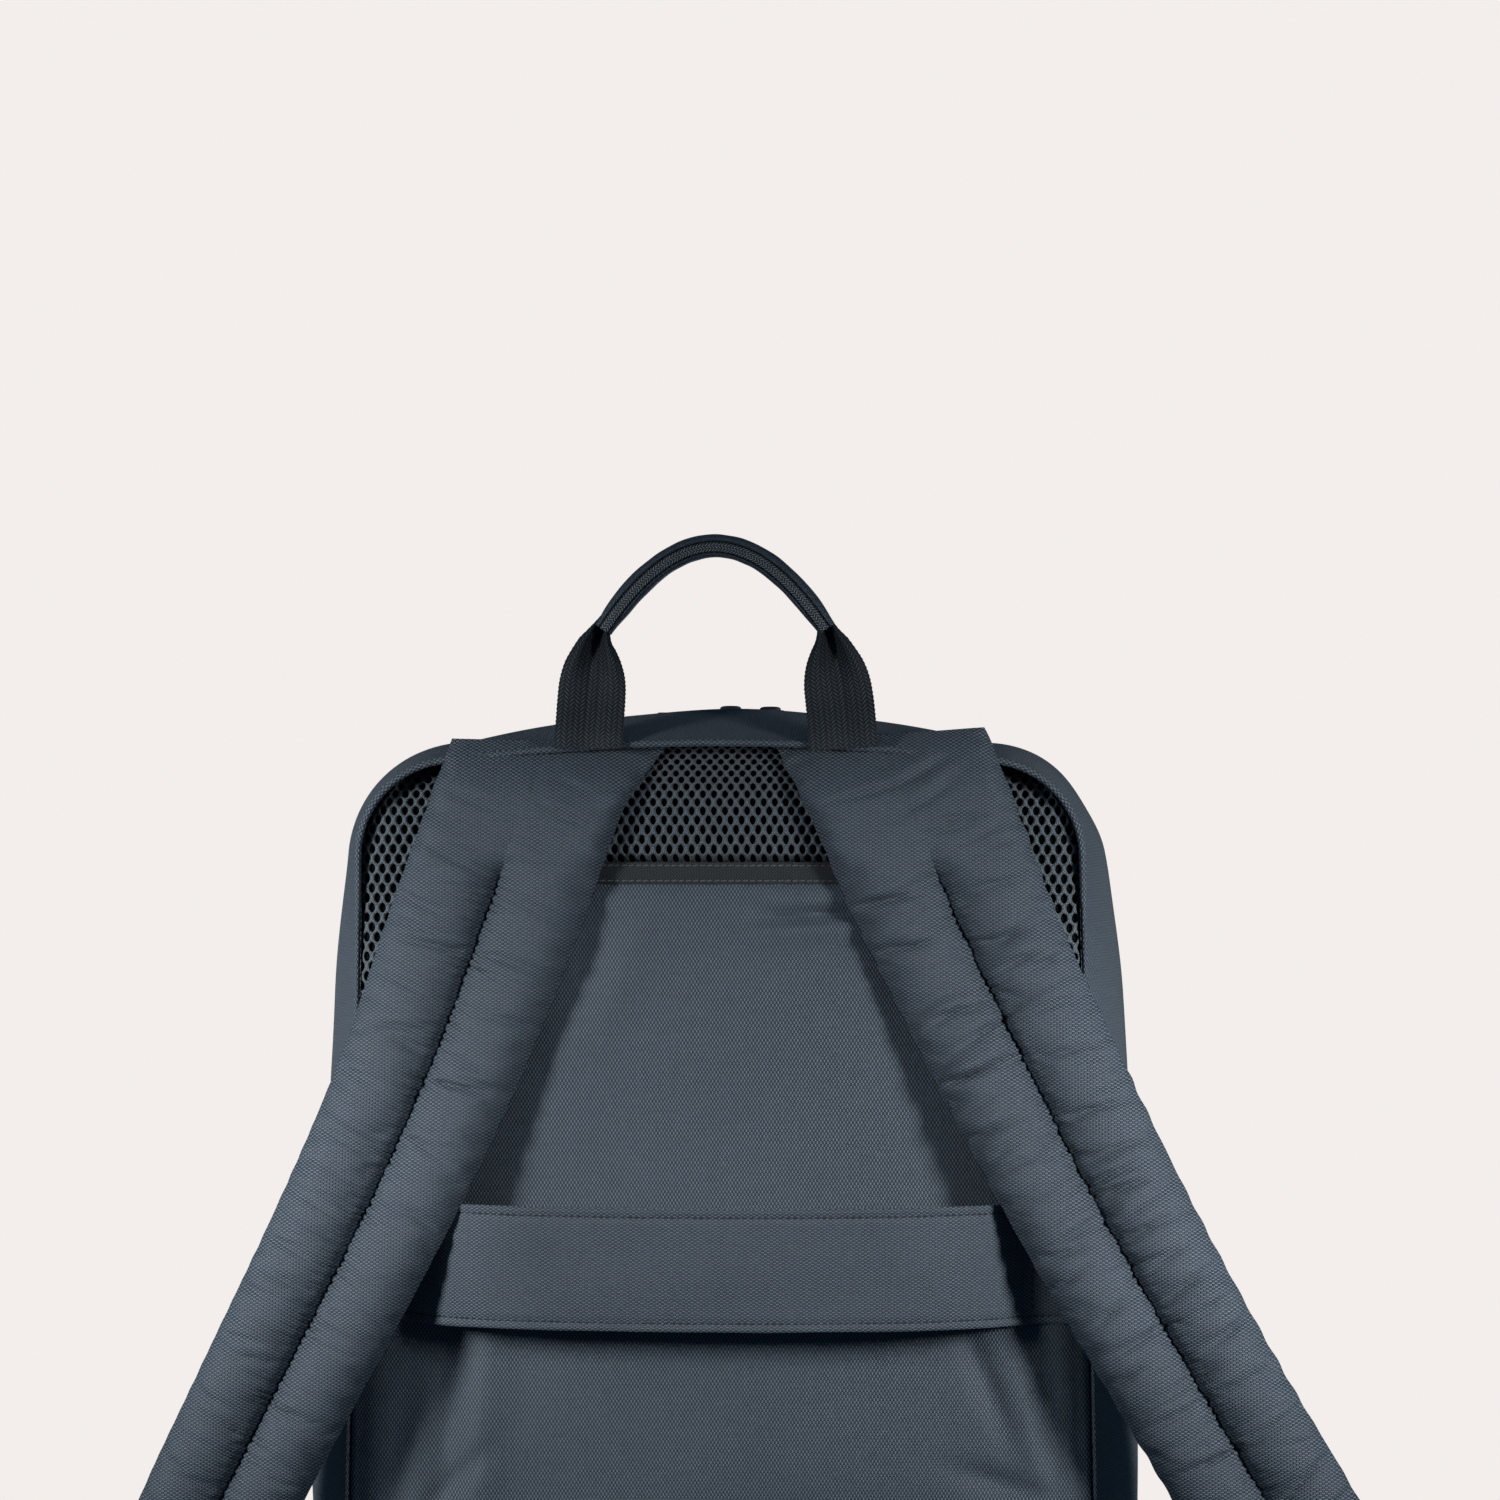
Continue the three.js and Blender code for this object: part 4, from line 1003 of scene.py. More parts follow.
def front_panel():
    """Seam depth + crown x (1 - u^4)(1 - (2t - 1)^4) + waves, with the cloth's thickness behind it."""
    u = np.linspace(-1, 1, 90)[:, None]
    t = np.linspace(0, 1, 120)[None, :]
    edge = lerp(BODY.hem, top_seam(BODY.top_half) - EASE, t)
    x = u * seam_half(edge, EASE)
    z = lerp(BODY.hem, top_seam(u * BODY.top_half) - EASE, t)
    full = (1 - u ** 4) * (1 - (2 * t - 1) ** 4)
    wide_waves = FRONT.wide_wave * dapple(x, z, FRONT.wide_length, seed=61)
    small_waves = FRONT.small_wave * dapple(x, z, FRONT.small_length, seed=62)
    sags = [deep * hump(z - low - slope * x, half) for deep, low, slope, half in zip(*FRONT_SAGS.values())]
    y = front_seam(z) + full * (BODY.crown + (wide_waves + small_waves) - sum(sags))
    face = settled(xyz(x, y, z), full < FRONT.sewn_share, FRONT.growth, FRONT.cap, (2, 2), -OUT)
    return wall(face, face - (0, CLOTH, 0), np.stack([x, z], axis=-1))


def base_panel():
    """A flat plate with its edge rounded over, cut to the walls' lower edge."""
    half, back, front = seam_half(BODY.hem), back_seam(BODY.hem), front_seam(BODY.hem)
    x = np.linspace(-half, half, 60)[:, None]
    share = np.linspace(0, 1, 30)[None, :]
    y = lerp(back, front, share)
    from_edge = np.minimum(np.minimum(half - np.abs(x), y - back), front - y)
    bent = 1 - rolled(from_edge, BASE.bend)
    under, top = BASE.under * bent, BODY.hem - BASE.drop - BASE.drop * bent
    return wall(xyz(x, y, top), xyz(x, y, under))


front = piece("front_cloth", [front_panel()], NYLON, ["front_panel"])
base = piece("base_cloth", [base_panel()], NYLON, ["base_panel"])

# %% [markdown]
# The band is a doubled strip of the same nylon, hemmed with a stitch row along each edge and sewn to the
# back at both ends. Between the ends it stands off the back like a sleeve, and hangs a little lower in the
# middle.

# %% Luggage band
BAND = Sizes(low=208.5, high=254.5, row=3.2, row_half=0.9, row_deep=0.55, sag=1.3, sag_half=90, sewn=118,
             wave=0.7, loose=30, edge=1.1, edge_deep=0.8, edge_wave=0.25, row_past=10, row_short=6,
             thread=0.05)
BAND_COURSE = table("x y", (0, -97.5), (58, -97.5), (74, -97.4), (90, -94.5), (104, -86), (114, -76.5),
                    (121, -72.2), (132, -71.6))


def band_face(x, z):
    """The band's outer face: its course, pinched along the two stitch rows and waving a little between."""
    y = read(BAND_COURSE, "x", "y", np.abs(x)) - CLOTH
    rows = hump(z - BAND.low - BAND.row, BAND.row_half) + hump(BAND.high - BAND.row - z, BAND.row_half)
    loose = smooth(BAND.sewn - np.abs(x), 0, BAND.loose)
    y = y + BAND.row_deep * rows + BAND.wave * dapple(x, z, length=36, seed=71) * loose
    droop = BAND.sag * np.clip(1 - (x / BAND.sag_half) ** 2, 0, 1)
    return xyz(x, y, z - droop)


def luggage_band():
    """Cross lines with rounded folded edges, carried from one sewn end to the other."""
    end = BAND_COURSE["x"][-1]
    x = np.linspace(-end, end, 200)[:, None]
    z = lerp(BAND.low, BAND.high, eased(40)[None, :]) + BAND.edge_wave * waver(x, length=60, seed=72)
    bent = BAND.edge_deep * (1 - rolled(np.minimum(z - BAND.low, BAND.high - z), BAND.edge))
    face = band_face(x, z)
    rear = face + (0, CLOTH, 0)
    face[..., 1] += bent
    rear[..., 1] -= bent
    return wall(face, rear)


band = piece("luggage_band_cloth", [luggage_band()], NYLON, ["luggage_band"])
band_x = np.linspace(-BAND.sewn - BAND.row_past, BAND.sewn + BAND.row_past, 300)
band_z = np.linspace(BAND.low + BAND.row_short, BAND.high - BAND.row_short, 40)
band_lines = [band_face(band_x, z) for z in (BAND.low + BAND.row, BAND.high - BAND.row)]
band_lines += [band_face(np.full_like(band_z, x), band_z) for x in (-BAND.sewn, BAND.sewn)]
band_rows = [stitch_row(line + OUT * BAND.thread, OUT) for line in band_lines]
band_thread = piece("band_stitches", band_rows, STITCH)

# %% [markdown]
# A shoulder strap is a cloth tube over foam with one row of stitches down its middle, which pulls it into
# two lobes. The stitch row gathers the cloth into fine puckers, and bending the foam makes wider wrinkles
# across the lobes. The strap is lofted from level cross lines, with all relief given by distance from the
# edge and from the row.

# %% Shoulder straps
STRAP = Sizes(lift_from=402, dive=9, groove_top=386, groove_fade=12, edge=7, edge_share=0.34,
              groove_share=0.52, round=2.1, lobe_power=0.7, sharp=1.6, sharp_share=0.16, ragged=0.012,
              ragged_length=11, full_thick=8, rear_round=0.3, row_low=80, row_gap=4, row_share=0.01,
              hem_share=0.995, thread_in=0.05, steps=680, cap=1.6)
CREASE = Sizes(first=14, last=385, gap=5, shift=5, middle=(8, 27), reach=(6, 15), lean=(-0.25, 0.25),
               depth=(0.3, 1), swell=1.3, swell_half=3.4, valley=2.6, valley_half=1.3)
WRINKLE = Sizes(length=21, high=1.3, power=0.7, level=0.6, wander=5, wander_length=60, stagger=7, apart=40,
                least=0.55, vary=0.45, vary_length=90, flat=0.35, grooved=0.65, edge=9)
PUCKER = Sizes(length=3.2, high=1.7, level=0.3, wander=1.2, wander_length=12, stagger=1.4,
               least=0.8, vary=0.6, vary_length=19, reach=6.5, ragged=5, ragged_length=7)
STRAP_EDGE = Sizes(pucker=0.6, pucker_length=8, reach=5, wave=0.5, wave_length=45)
STRAP_DEPTH = table("z back thick", (68.4, -93.5, 6), (85, -93, 10.5), (115, -94.5, 12), (165, -96, 12),
                    (225, -93, 12), (280, -83.5, 12), (335, -75.5, 12), (375, -73, 12), (388, -72.4, 11.5),
                    (400, -72.4, 9.8), (412, -72.2, 8.4), (420, -70.8, 6.2), (428.4, -68.6, 1.8))
STRAP_EDGES = {
    "left": table("z outer inner", (68.4, 230, 191), (85, 234, 182), (110, 229, 171), (143, 216.9, 154.5),
                  (194, 193.1, 127.3), (251, 166.6, 97.5), (308, 143.1, 71.8), (362, 125.3, 50.6),
                  (405, 110.2, 34.8), (428.4, 101.7, 20.5)),
    "right": table("z outer inner", (68.4, 259, 220), (85, 263, 205), (110, 257, 190), (143, 241.7, 172.2),
                   (194, 211.8, 141.9), (251, 180.7, 108.7), (308, 152.6, 78.5), (362, 128.2, 51.2),
                   (405, 111.8, 32.3), (428.4, 100.3, 20)),
}
STRAPS = {"left": Sizes(side=-1, wrinkled=0.55, growth=0.03, lift=1, tuck=-1.5, seed=81),
          "right": Sizes(side=1, wrinkled=1.1, growth=0.06, lift=5.2, tuck=-0.7, seed=91)}


def strap_course(edges, count):
    """Heights evenly spaced along the strap's middle line, with half width, middle, slope and length run."""
    z = np.linspace(edges["z"][0], edges["z"][-1], 800)
    middle = (read(edges, "z", "outer", z) + read(edges, "z", "inner", z)) / 2
    run = summed(np.hypot(np.diff(z), np.diff(middle)))
    even = np.linspace(0, run[-1], count)
    z = np.interp(even, run, z)
    outer, inner = read(edges, "z", "outer", z), read(edges, "z", "inner", z)
    middle = (outer + inner) / 2
    return z, (outer - inner) / 2, middle, np.gradient(middle, even), even


def strap_creases(along, across, strap):
    """Sum of seeded creases: each a narrow valley with a soft swelling beside it, over part of one lobe."""
    rng = np.random.default_rng(strap.seed)
    total = np.zeros(np.broadcast_shapes(along.shape, across.shape))
    places = np.arange(CREASE.first, CREASE.last, CREASE.gap)
    for place in places + rng.uniform(-CREASE.shift, CREASE.shift, len(places)):
        middle = rng.choice([-1, 1]) * rng.uniform(*CREASE.middle)
        reach, lean, depth = rng.uniform(*CREASE.reach), rng.uniform(*CREASE.lean), rng.uniform(*CREASE.depth)
        from_line = along - place - lean * (across - middle)
        within = hump(across - middle, reach)
        swelling = CREASE.swell * hump(from_line - CREASE.swell_half, CREASE.swell_half)
        total += depth * within * (swelling - CREASE.valley * hump(from_line, CREASE.valley_half))
    return strap.wrinkled * total


def strap_wrinkles(along, across, groove, lobe, strap):
    """Pillows of uneven strength, a power of the sine of a warped length, and the creases across them."""
    wander = WRINKLE.wander * waver(along, WRINKLE.wander_length, strap.seed)
    warped = along + wander + WRINKLE.stagger * (lobe - 1)
    pillow = np.abs(np.sin(np.pi * warped / WRINKLE.length)) ** WRINKLE.power - WRINKLE.level
    apart = along + WRINKLE.apart * lobe
    uneven = WRINKLE.least + WRINKLE.vary * waver(apart, WRINKLE.vary_length, strap.seed + 1)
    strength = strap.wrinkled * uneven
    pillows = WRINKLE.high * pillow * strength * (WRINKLE.flat + WRINKLE.grooved * groove)
    return pillows + strap_creases(along, across, strap)


def row_puckers(along, from_row, groove, lobe, strap):
    """Narrow valleys one pucker apart, a cosine to the third power, that die away from the stitch row."""
    wander = PUCKER.wander * waver(along, PUCKER.wander_length, strap.seed + 2)
    warped = along + wander + PUCKER.stagger * (lobe - 1)
    ragged = PUCKER.reach + PUCKER.ragged * waver(along, PUCKER.ragged_length, strap.seed + 6)
    valley = (0.5 + 0.5 * np.cos(2 * np.pi * warped / PUCKER.length)) ** 3
    uneven = PUCKER.least + PUCKER.vary * waver(along, PUCKER.vary_length, strap.seed + 7)
    return (PUCKER.level - valley) * PUCKER.high * uneven * hump(from_row, ragged) * groove


def strap_relief(along, across, half, groove, strap):
    """Pillowed lobes, creases across them, fine puckers by the stitch row and soft ones by the edges."""
    from_row, from_edge = np.abs(across), half - np.abs(across)
    lobe = np.where(across > 0, 1, 2)
    wrinkles = strap_wrinkles(along, across, groove, lobe, strap) * rolled(from_edge, WRINKLE.edge)
    puckers = row_puckers(along, from_row, groove, lobe, strap)
    edge_puckers = STRAP_EDGE.pucker * waver(along, STRAP_EDGE.pucker_length, strap.seed + 3)
    edge_puckers = edge_puckers * np.exp(-from_edge / STRAP_EDGE.reach)
    waves = STRAP_EDGE.wave * dapple(along, across, STRAP_EDGE.wave_length, strap.seed + 4)
    return wrinkles + puckers + edge_puckers + waves


def strap_back(z, share):
    """Depth of the strap's rear: the table's course; the inner top corner dives under the gusset's lip."""
    dive = STRAP.dive * smooth(z, STRAP.lift_from, BODY.top) * (1 - share) / 2
    return read(STRAP_DEPTH, "z", "back", z) + dive


def strap_face(strap, edges, z, half, middle, slope, run, share):
    """Front face: thickness x (two round lobes below, one flat roll above the stitch row) + relief."""
    upright = 1 / np.hypot(1, slope / np.sqrt(np.maximum(1 - slope ** 2, 0.01)))
    offset = share * half
    along, across = run + offset * slope, offset * upright
    groove = smooth(STRAP.groove_top - z, 0, STRAP.groove_fade)
    from_row, from_edge = np.abs(across), (1 - np.abs(share)) * half * upright
    lobe = 1 - np.abs(2 * np.abs(share) - 1) ** STRAP.round
    foot = np.where(np.abs(share) < 0.5, STRAP.groove_share, STRAP.edge_share)
    pillow = lerp(foot, 1, lobe ** STRAP.lobe_power) - STRAP.sharp_share * hump(from_row, STRAP.sharp)
    flat = lerp(STRAP.edge_share, 1, rolled(from_edge, STRAP.edge))
    thick = read(STRAP_DEPTH, "z", "thick", z)
    height = thick * lerp(flat, pillow, groove)
    relief = strap_relief(along, across, half * upright, groove, strap)
    height += np.clip(thick / STRAP.full_thick, 0, 1) * relief
    ragged = 1 + STRAP.ragged * strap.wrinkled * waver(along, STRAP.ragged_length, strap.seed + 5)
    x = strap.side * (middle + offset * ragged)
    y = strap_back(z, share) - height
    raised = z + lerp(strap.lift, strap.tuck, (1 - share) / 2) * smooth(z, STRAP.lift_from, edges["z"][-1])
    points = xyz(x, y, raised)
    return points, points[..., [2, 0]]


def strap_columns():
    """Shares across the strap from -1 to 1, close together at the stitch row and at both edges."""
    lobe = eased(25)
    return np.concatenate([-lobe[::-1], lobe[1:]])


def shoulder_strap(name):
    """Front and rear cross lines of one strap, carried from its lower end up to the seam."""
    strap, edges = STRAPS[name], STRAP_EDGES[name]
    z, half, middle, slope, run = (values[:, None] for values in strap_course(edges, STRAP.steps))
    share = strap_columns()[None, :]
    face, flat = strap_face(strap, edges, z, half, middle, slope, run, share)
    rear = face.copy()
    sewn_row = (np.abs(share) < STRAP.row_share) & (z < STRAP.groove_top)
    held = sewn_row | (np.abs(share) > STRAP.hem_share)
    held[[0, -1]] = True
    face = settled(face, held, strap.growth, STRAP.cap, (4, 1), OUT)
    round_edge = STRAP.rear_round * (1 - rolled((1 - np.abs(share)) * half, STRAP.edge))
    rear[..., 1] = strap_back(z, share) - round_edge * read(STRAP_DEPTH, "z", "thick", z)
    row, _ = strap_face(strap, edges, z, half, middle, slope, run, np.zeros((1, 1)))
    sewn = row[(z[:, 0] < STRAP.groove_top - STRAP.row_gap) & (z[:, 0] > STRAP.row_low), 0]
    return wall(face, rear, flat), stitch_row(sewn - OUT * STRAP.thread_in, OUT)


for name in STRAPS:
    strap_shape, strap_stitches = shoulder_strap(name)
    strap = piece(f"padded_strap_{name}", [strap_shape], NYLON, [f"shoulder_strap_{name}"])
    piece(f"strap_stitches_{name}", [strap_stitches], STITCH)

# %% [markdown]
# The haul handle is a length of wide webbing. Its ends lie flat in the top seam. Above them it is gathered
# into folds and rolled inside a cloth grip that is stitched along a slit, where a strip of the webbing
# still shows. The gathered part keeps its true width: as it gets narrower, its folds get deeper by the
# right-angle rule.

# %% Haul handle
HANDLE = Sizes(centre=-1.7, top=502.4, rise=33.2, half_span=43.5, y=-67.6, deep=8, high=4.4,
               square=0.55, reach=42.5)
HANDLE_END = table("z left right y half", (425.5, -49, 47.4, -77.4, 12.9), (431, -49, 47, -76.6, 12.9),
                   (437, -48.8, 46.4, -73.6, 12.9), (444, -48.6, 45.5, -69.8, 12.9),
                   (451.3, -48.3, 44.4, -67.8, 12.5), (458, -47.9, 43.4, -67.6, 10.8),
                   (464.8, -47.1, 42.3, -67.6, 7.4), (468.5, -46, 41.3, -67.6, 5),
                   (471.5, -44.6, 40.2, -67.6, 3.6), (475, -42.4, 38.2, -67.6, 2.8))
WEB = Sizes(half=13, thick=1.2, folds=1.5, scallop=0.16, yarn=1.6, bow=0.5, bow_turn=2.2, crease_run=20)
WEB_CREASES = table("at high half", (0.16, 0.55, 0.05), (-0.1, 0.4, 0.04))
SLIT = Sizes(upper=1.6, lower=-2.9, row=0.45, row_in=0.8, row_gap=2, strip_in=0.7, strip_gap=0.55,
             strip_bow=0.5, strip_thick=1.6)
WRAP = Sizes(length=125, girth=42, thick=1.6, bind=0.2, bind_half=6, lip=1.8, lip_deep=1.1,
             wave=0.18, pucker=0.1, pucker_share=0.08)
FINE_STITCH = Sizes(length=1.7, width=0.5, height=0.4, pitch=2.1)


def arch(x):
    """The grip's middle line, a parabola, at a distance from its apex, and its outward direction."""
    z = HANDLE.top - HANDLE.rise * (x / HANDLE.half_span) ** 2
    slope = -2 * HANDLE.rise * x / HANDLE.half_span ** 2
    return xyz(HANDLE.centre + x, HANDLE.y, z), xyz(-slope, 0, 1) / np.hypot(1, slope)[..., None]


def handle_end(side, lean):
    """Webbing from the seam up into the grip: folds of depth root(half^2 - narrowed^2) / (2 x folds)."""
    z = np.linspace(HANDLE_END["z"][0], HANDLE_END["z"][-1], 90)
    x, half = read(HANDLE_END, "z", side, z), read(HANDLE_END, "z", "half", z)
    way = unit(np.stack([np.gradient(x, z), np.ones_like(z)], axis=-1))
    a = np.linspace(-1, 1, 61)[None, :]
    run = (z - z[0])[:, None]
    depth = (np.sqrt(np.maximum(WEB.half ** 2 - half ** 2, 0)) / (2 * WEB.folds))[:, None]
    scallop = WEB.scallop * np.sin(2 * np.pi * run / WEB.yarn) * np.abs(a) ** 8
    offset = half[:, None] * a * (1 + scallop / WEB.half)
    crease = sum(high * hump(a - at, wide) for at, high, wide in zip(*WEB_CREASES.values()))
    fold = depth * np.cos(WEB.folds * np.pi * a) + crease * smooth(run, 0, WEB.crease_run)
    fold = fold + WEB.bow * np.cos(WEB.bow_turn * a + lean)
    px = x[:, None] + offset * way[:, 1:2]
    pz = z[:, None] - offset * way[:, 0:1]
    y = read(HANDLE_END, "z", "y", z)[:, None] + fold
    flat = np.stack(np.broadcast_arrays(WEB.half * a, run), axis=-1)
    return wall(xyz(px, y - WEB.thick / 2, pz), xyz(px, y + WEB.thick / 2, pz), flat)


def handle_strip():
    """The strip of webbing in the grip's slit, bowed a little towards the wearer."""
    middle, out = arch(np.linspace(-HANDLE.reach, HANDLE.reach, 120))
    a = np.linspace(-1, 1, 13)[None, :, None]
    centre, half = (SLIT.upper + SLIT.lower) / 2, (SLIT.upper - SLIT.lower) / 2 - SLIT.strip_gap
    front = middle[:, None, :] + out[:, None, :] * (centre + half * a)
    front = front + OUT * (HANDLE.deep - SLIT.strip_in + SLIT.strip_bow * (1 - a ** 2))
    return wall(front, front - OUT * SLIT.strip_thick)


def grip_turn(height):
    """Angle round the grip's squarish section at which it has the given height."""
    return np.arcsin(pushed(height / HANDLE.high, 1 / HANDLE.square))


def handle_grip():
    """A squarish tube round the arch, open between the slit's two lips, which roll inwards."""
    middle, out = arch(np.linspace(-HANDLE.reach, HANDLE.reach, 140))
    share = eased(44)[None, :]
    turn = lerp(grip_turn(SLIT.upper), 2 * np.pi + grip_turn(SLIT.lower), share)
    from_lip = np.minimum(share, 1 - share)
    run = np.linspace(0, WRAP.length, len(middle))[:, None]
    bound = 1 - WRAP.bind * hump(np.minimum(run, WRAP.length - run), WRAP.bind_half)
    tuck = 1 - rolled(from_lip * WRAP.girth, WRAP.lip)
    relief = WRAP.wave * dapple(run, WRAP.girth * share, length=14, seed=101)
    relief = relief + WRAP.pucker * waver(run, length=3, seed=102) * hump(from_lip, WRAP.pucker_share)

    def face(sunk):
        high = (HANDLE.high * bound - sunk + relief) * pushed(np.sin(turn), HANDLE.square)
        deep = HANDLE.deep * bound - sunk - WRAP.lip_deep * tuck + relief
        deep = deep * pushed(np.cos(turn), HANDLE.square)
        return middle[:, None, :] + out[:, None, :] * high[..., None] + OUT * deep[..., None]

    return wall(face(0), face(WRAP.thick))


webbing_shapes = [handle_end("left", 0.4), handle_end("right", -0.5)]
piece("handle_webbing_ribs", webbing_shapes, WEBBING, ["handle_webbing"])
# Painted light: the slit strip's colour is far lighter than the webbing it is cut from.
piece("handle_slit_strip", [handle_strip()], PAINTED_LIGHT_STRIP)
# Partly painted light: the grip's navy colour is raised where the lamps barely reach.
grip = piece("handle_grip_cloth", [handle_grip()], GRIP_WITH_PAINTED_LIGHT, ["handle_grip"])
slit_end = HANDLE.reach - SLIT.row_gap
grip_middle, grip_out = arch(np.linspace(-slit_end, slit_end, 200))
row_heights = SLIT.upper - SLIT.row, SLIT.lower + SLIT.row
grip_lines = [grip_middle + grip_out * height + OUT * (HANDLE.deep - SLIT.row_in) for height in row_heights]
grip_rows = [stitch_row(line, OUT, FINE_STITCH) for line in grip_lines]
piece("handle_stitches", grip_rows, STITCH)

# %% [markdown]
# The zip lies in the gusset's slot: a tape on each side and a coil in the middle. A nylon coil shows as a
# row of small rounded teeth on either side of its middle line, half a step apart, so the bead template
# serves again.

# %% Main zip
COIL = Sizes(length=3.4, width=1.25, height=1.3, pitch=1.8, apart=1.15, rise=0.55, slant=0.25)
SLIDERS = table("x turn", (0.5, -1), (16, 1))
SLIDER = Sizes(length=11, wide=8, high=2.6, lift=0.6, bridge=(8.25, 2.4, 2.4), bridge_up=1.5,
               bridge_power=0.7)
PULL = Sizes(length=26, ring_half=2.4, ring=1.2, plate=(22, 4.5, 0.7), hang=2, droop=0.5)


def zip_points(points, out, offset, sunk):
    """Points in the slot, at a distance in front of its middle line and sunk below the gusset's face."""
    shares = np.stack([zip_share(points, value) for value in offset], axis=-1)
    return gusset_points(points, out, shares, sunk)


def main_zip():
    """The tape's cross line carried along the slot, and the coil's two rows of teeth."""
    last = len(seam_points) - zip_begin
    points, out = seam_points[zip_begin:last], seam_out[zip_begin:last]
    offset = np.linspace(-1, 1, 9) * (ZIP.half + ZIP.sewn_in)
    face, rear = (zip_points(points, out, offset, sunk) for sunk in (ZIP.recess, ZIP.recess + ZIP.tape))
    up = xyz(out[:, 0], 0, out[:, 1])
    teeth = []
    for side in (-1, 1):
        line = zip_points(points, out, [side * COIL.apart], ZIP.recess - COIL.rise)[:, 0]
        places, raised, way = spaced(line, up, (1 + side / 2) * COIL.pitch / 2, COIL.pitch)
        teeth.append(beads(places, np.cross(raised, way) + COIL.slant * side * way, raised, COIL))
    return wall(face, rear), teeth


zip_tape, zip_teeth = main_zip()
piece("zip_tapes", [zip_tape], ZIP_TAPE, ["main_zip"])
piece("zip_coil", zip_teeth, PLASTIC)

# %% [markdown]
# A slider is a small wedge with a bridge on top and a flat pull. Superellipses give moulded parts their
# soft corners: powers of sine and cosine below one push a circle out towards its square.

# %% Zip sliders
def soft_block(middle, size, power=0.35, steps=24):
    """A rounded block: powers of the sines and cosines of latitude and longitude, times half the size."""
    lat = np.linspace(-np.pi / 2, np.pi / 2, steps // 2 + 1)[:, None]
    lon = turns(steps)[None, :]
    ring = np.maximum(pushed(np.cos(lat), power), 0.02)
    x, y, z = (pushed(value, power) for value in (np.cos(lon), np.sin(lon), np.sin(lat)))
    return loft(xyz(ring * x, ring * y, z) * np.array(size) / 2 + middle)


def pull_loop(middle, length, half, thick, count=48):
    """A flat oblong ring: a small round section carried round a stadium."""
    turn = turns(count)
    across = xyz(np.cos(turn), np.sin(turn), 0)
    straight = np.sign(np.cos(turn)) * (length / 2 - half)
    centres = middle + xyz(np.cos(turn) * half + straight, np.sin(turn) * half, 0)
    upward = np.broadcast_to([0.0, 0, 1], across.shape)
    return tube(centres, across, upward, np.full(count, thick / 2), closed=True)


def zip_slider(x, turn):
    """Body, bridge and pull on the gusset's highest line, the pull lying towards the given side."""
    i = int(np.argmin(np.hypot(seam_points[:, 0] - x, seam_points[:, 1] - top_seam(x))))
    seat = zip_points(seam_points[i:i + 1], seam_out[i:i + 1], [0.0], ZIP.recess - ZIP.coil_high)[0, 0]
    seat[0] = x
    low = seat + (0, 0, SLIDER.lift)
    pull_middle = low + (turn * (PULL.length / 2 + PULL.hang), 0, -PULL.droop)
    return [
        soft_block(low + (0, 0, SLIDER.high / 4), (SLIDER.length, SLIDER.wide, SLIDER.high / 2)),
        soft_block(low + (0, 0, SLIDER.bridge_up), SLIDER.bridge, SLIDER.bridge_power),
        pull_loop(pull_middle, PULL.length, PULL.ring_half, PULL.ring),
        soft_block(pull_middle, PULL.plate),
    ]


for name, x, turn in zip(("left", "right"), SLIDERS["x"], SLIDERS["turn"]):
    piece(f"zip_pull_{name}", zip_slider(x, turn), PLASTIC, [f"zip_slider_{name}"])

# %% [markdown]
# Below the photograph's edge each strap ends in a ladder lock, with webbing through it that is sewn to a
# cloth tab in the side seam. These are finished plainly but fully: moulded bars with soft edges, ribbed
# webbing, doubled tabs.

# %% Ladder locks
LOCK = Sizes(y=-97.5, thick=5, half=17, top=68, bar=5, mid_bar=6, slot=7, slim=0.6, mid_slim=0.4, mid_in=2,
             square=0.22, ridge=0.06, ridge_pitch=2.4)
LOOP = Sizes(half=11, thick=1.2, clear=0.9, rise=10)
WEB_EDGE = Sizes(past=1.02, bend=0.06)
LOCK.bottom = LOCK.top - 2 * LOCK.bar - LOCK.mid_bar - 2 * LOCK.slot


def lock_middle(name):
    """Middle of the strap's lower end."""
    edges = STRAP_EDGES[name]
    return STRAPS[name].side * (edges["outer"][0] + edges["inner"][0]) / 2


def section(half_wide, half_high, count=20, power=0.45):
    """A closed rounded oblong, as (wide, high) points."""
    turn = turns(count)
    wide, high = (pushed(value, power) for value in (np.cos(turn), np.sin(turn)))
    return np.stack([half_wide * wide, half_high * high], axis=-1)


def soft_edges(across):
    """Share of a webbing's thickness at a place from -1 to 1 across it: less than 1 only at its edges."""
    return rolled(WEB_EDGE.past - np.abs(across), WEB_EDGE.bend)


def lock_frame(middle):
    """The outer frame: a rounded oblong section carried round a rounded rectangle in the XZ plane."""
    wide, high = LOCK.half - LOCK.bar / 2, (LOCK.top - LOCK.bottom - LOCK.bar) / 2
    path = section(wide, high, count=96, power=LOCK.square)
    way = unit(np.roll(path, -1, axis=0) - np.roll(path, 1, axis=0))
    out = xyz(way[:, 1], 0, -way[:, 0])
    cut = section(LOCK.bar / 2 - LOCK.slim, LOCK.thick / 2)
    centres = xyz(middle + path[:, 0], LOCK.y, (LOCK.top + LOCK.bottom) / 2 + path[:, 1])
    rings = centres[:, None] + out[:, None] * cut[None, :, :1] + OUT * cut[None, :, 1:]
    return loft(rings, closed=True)


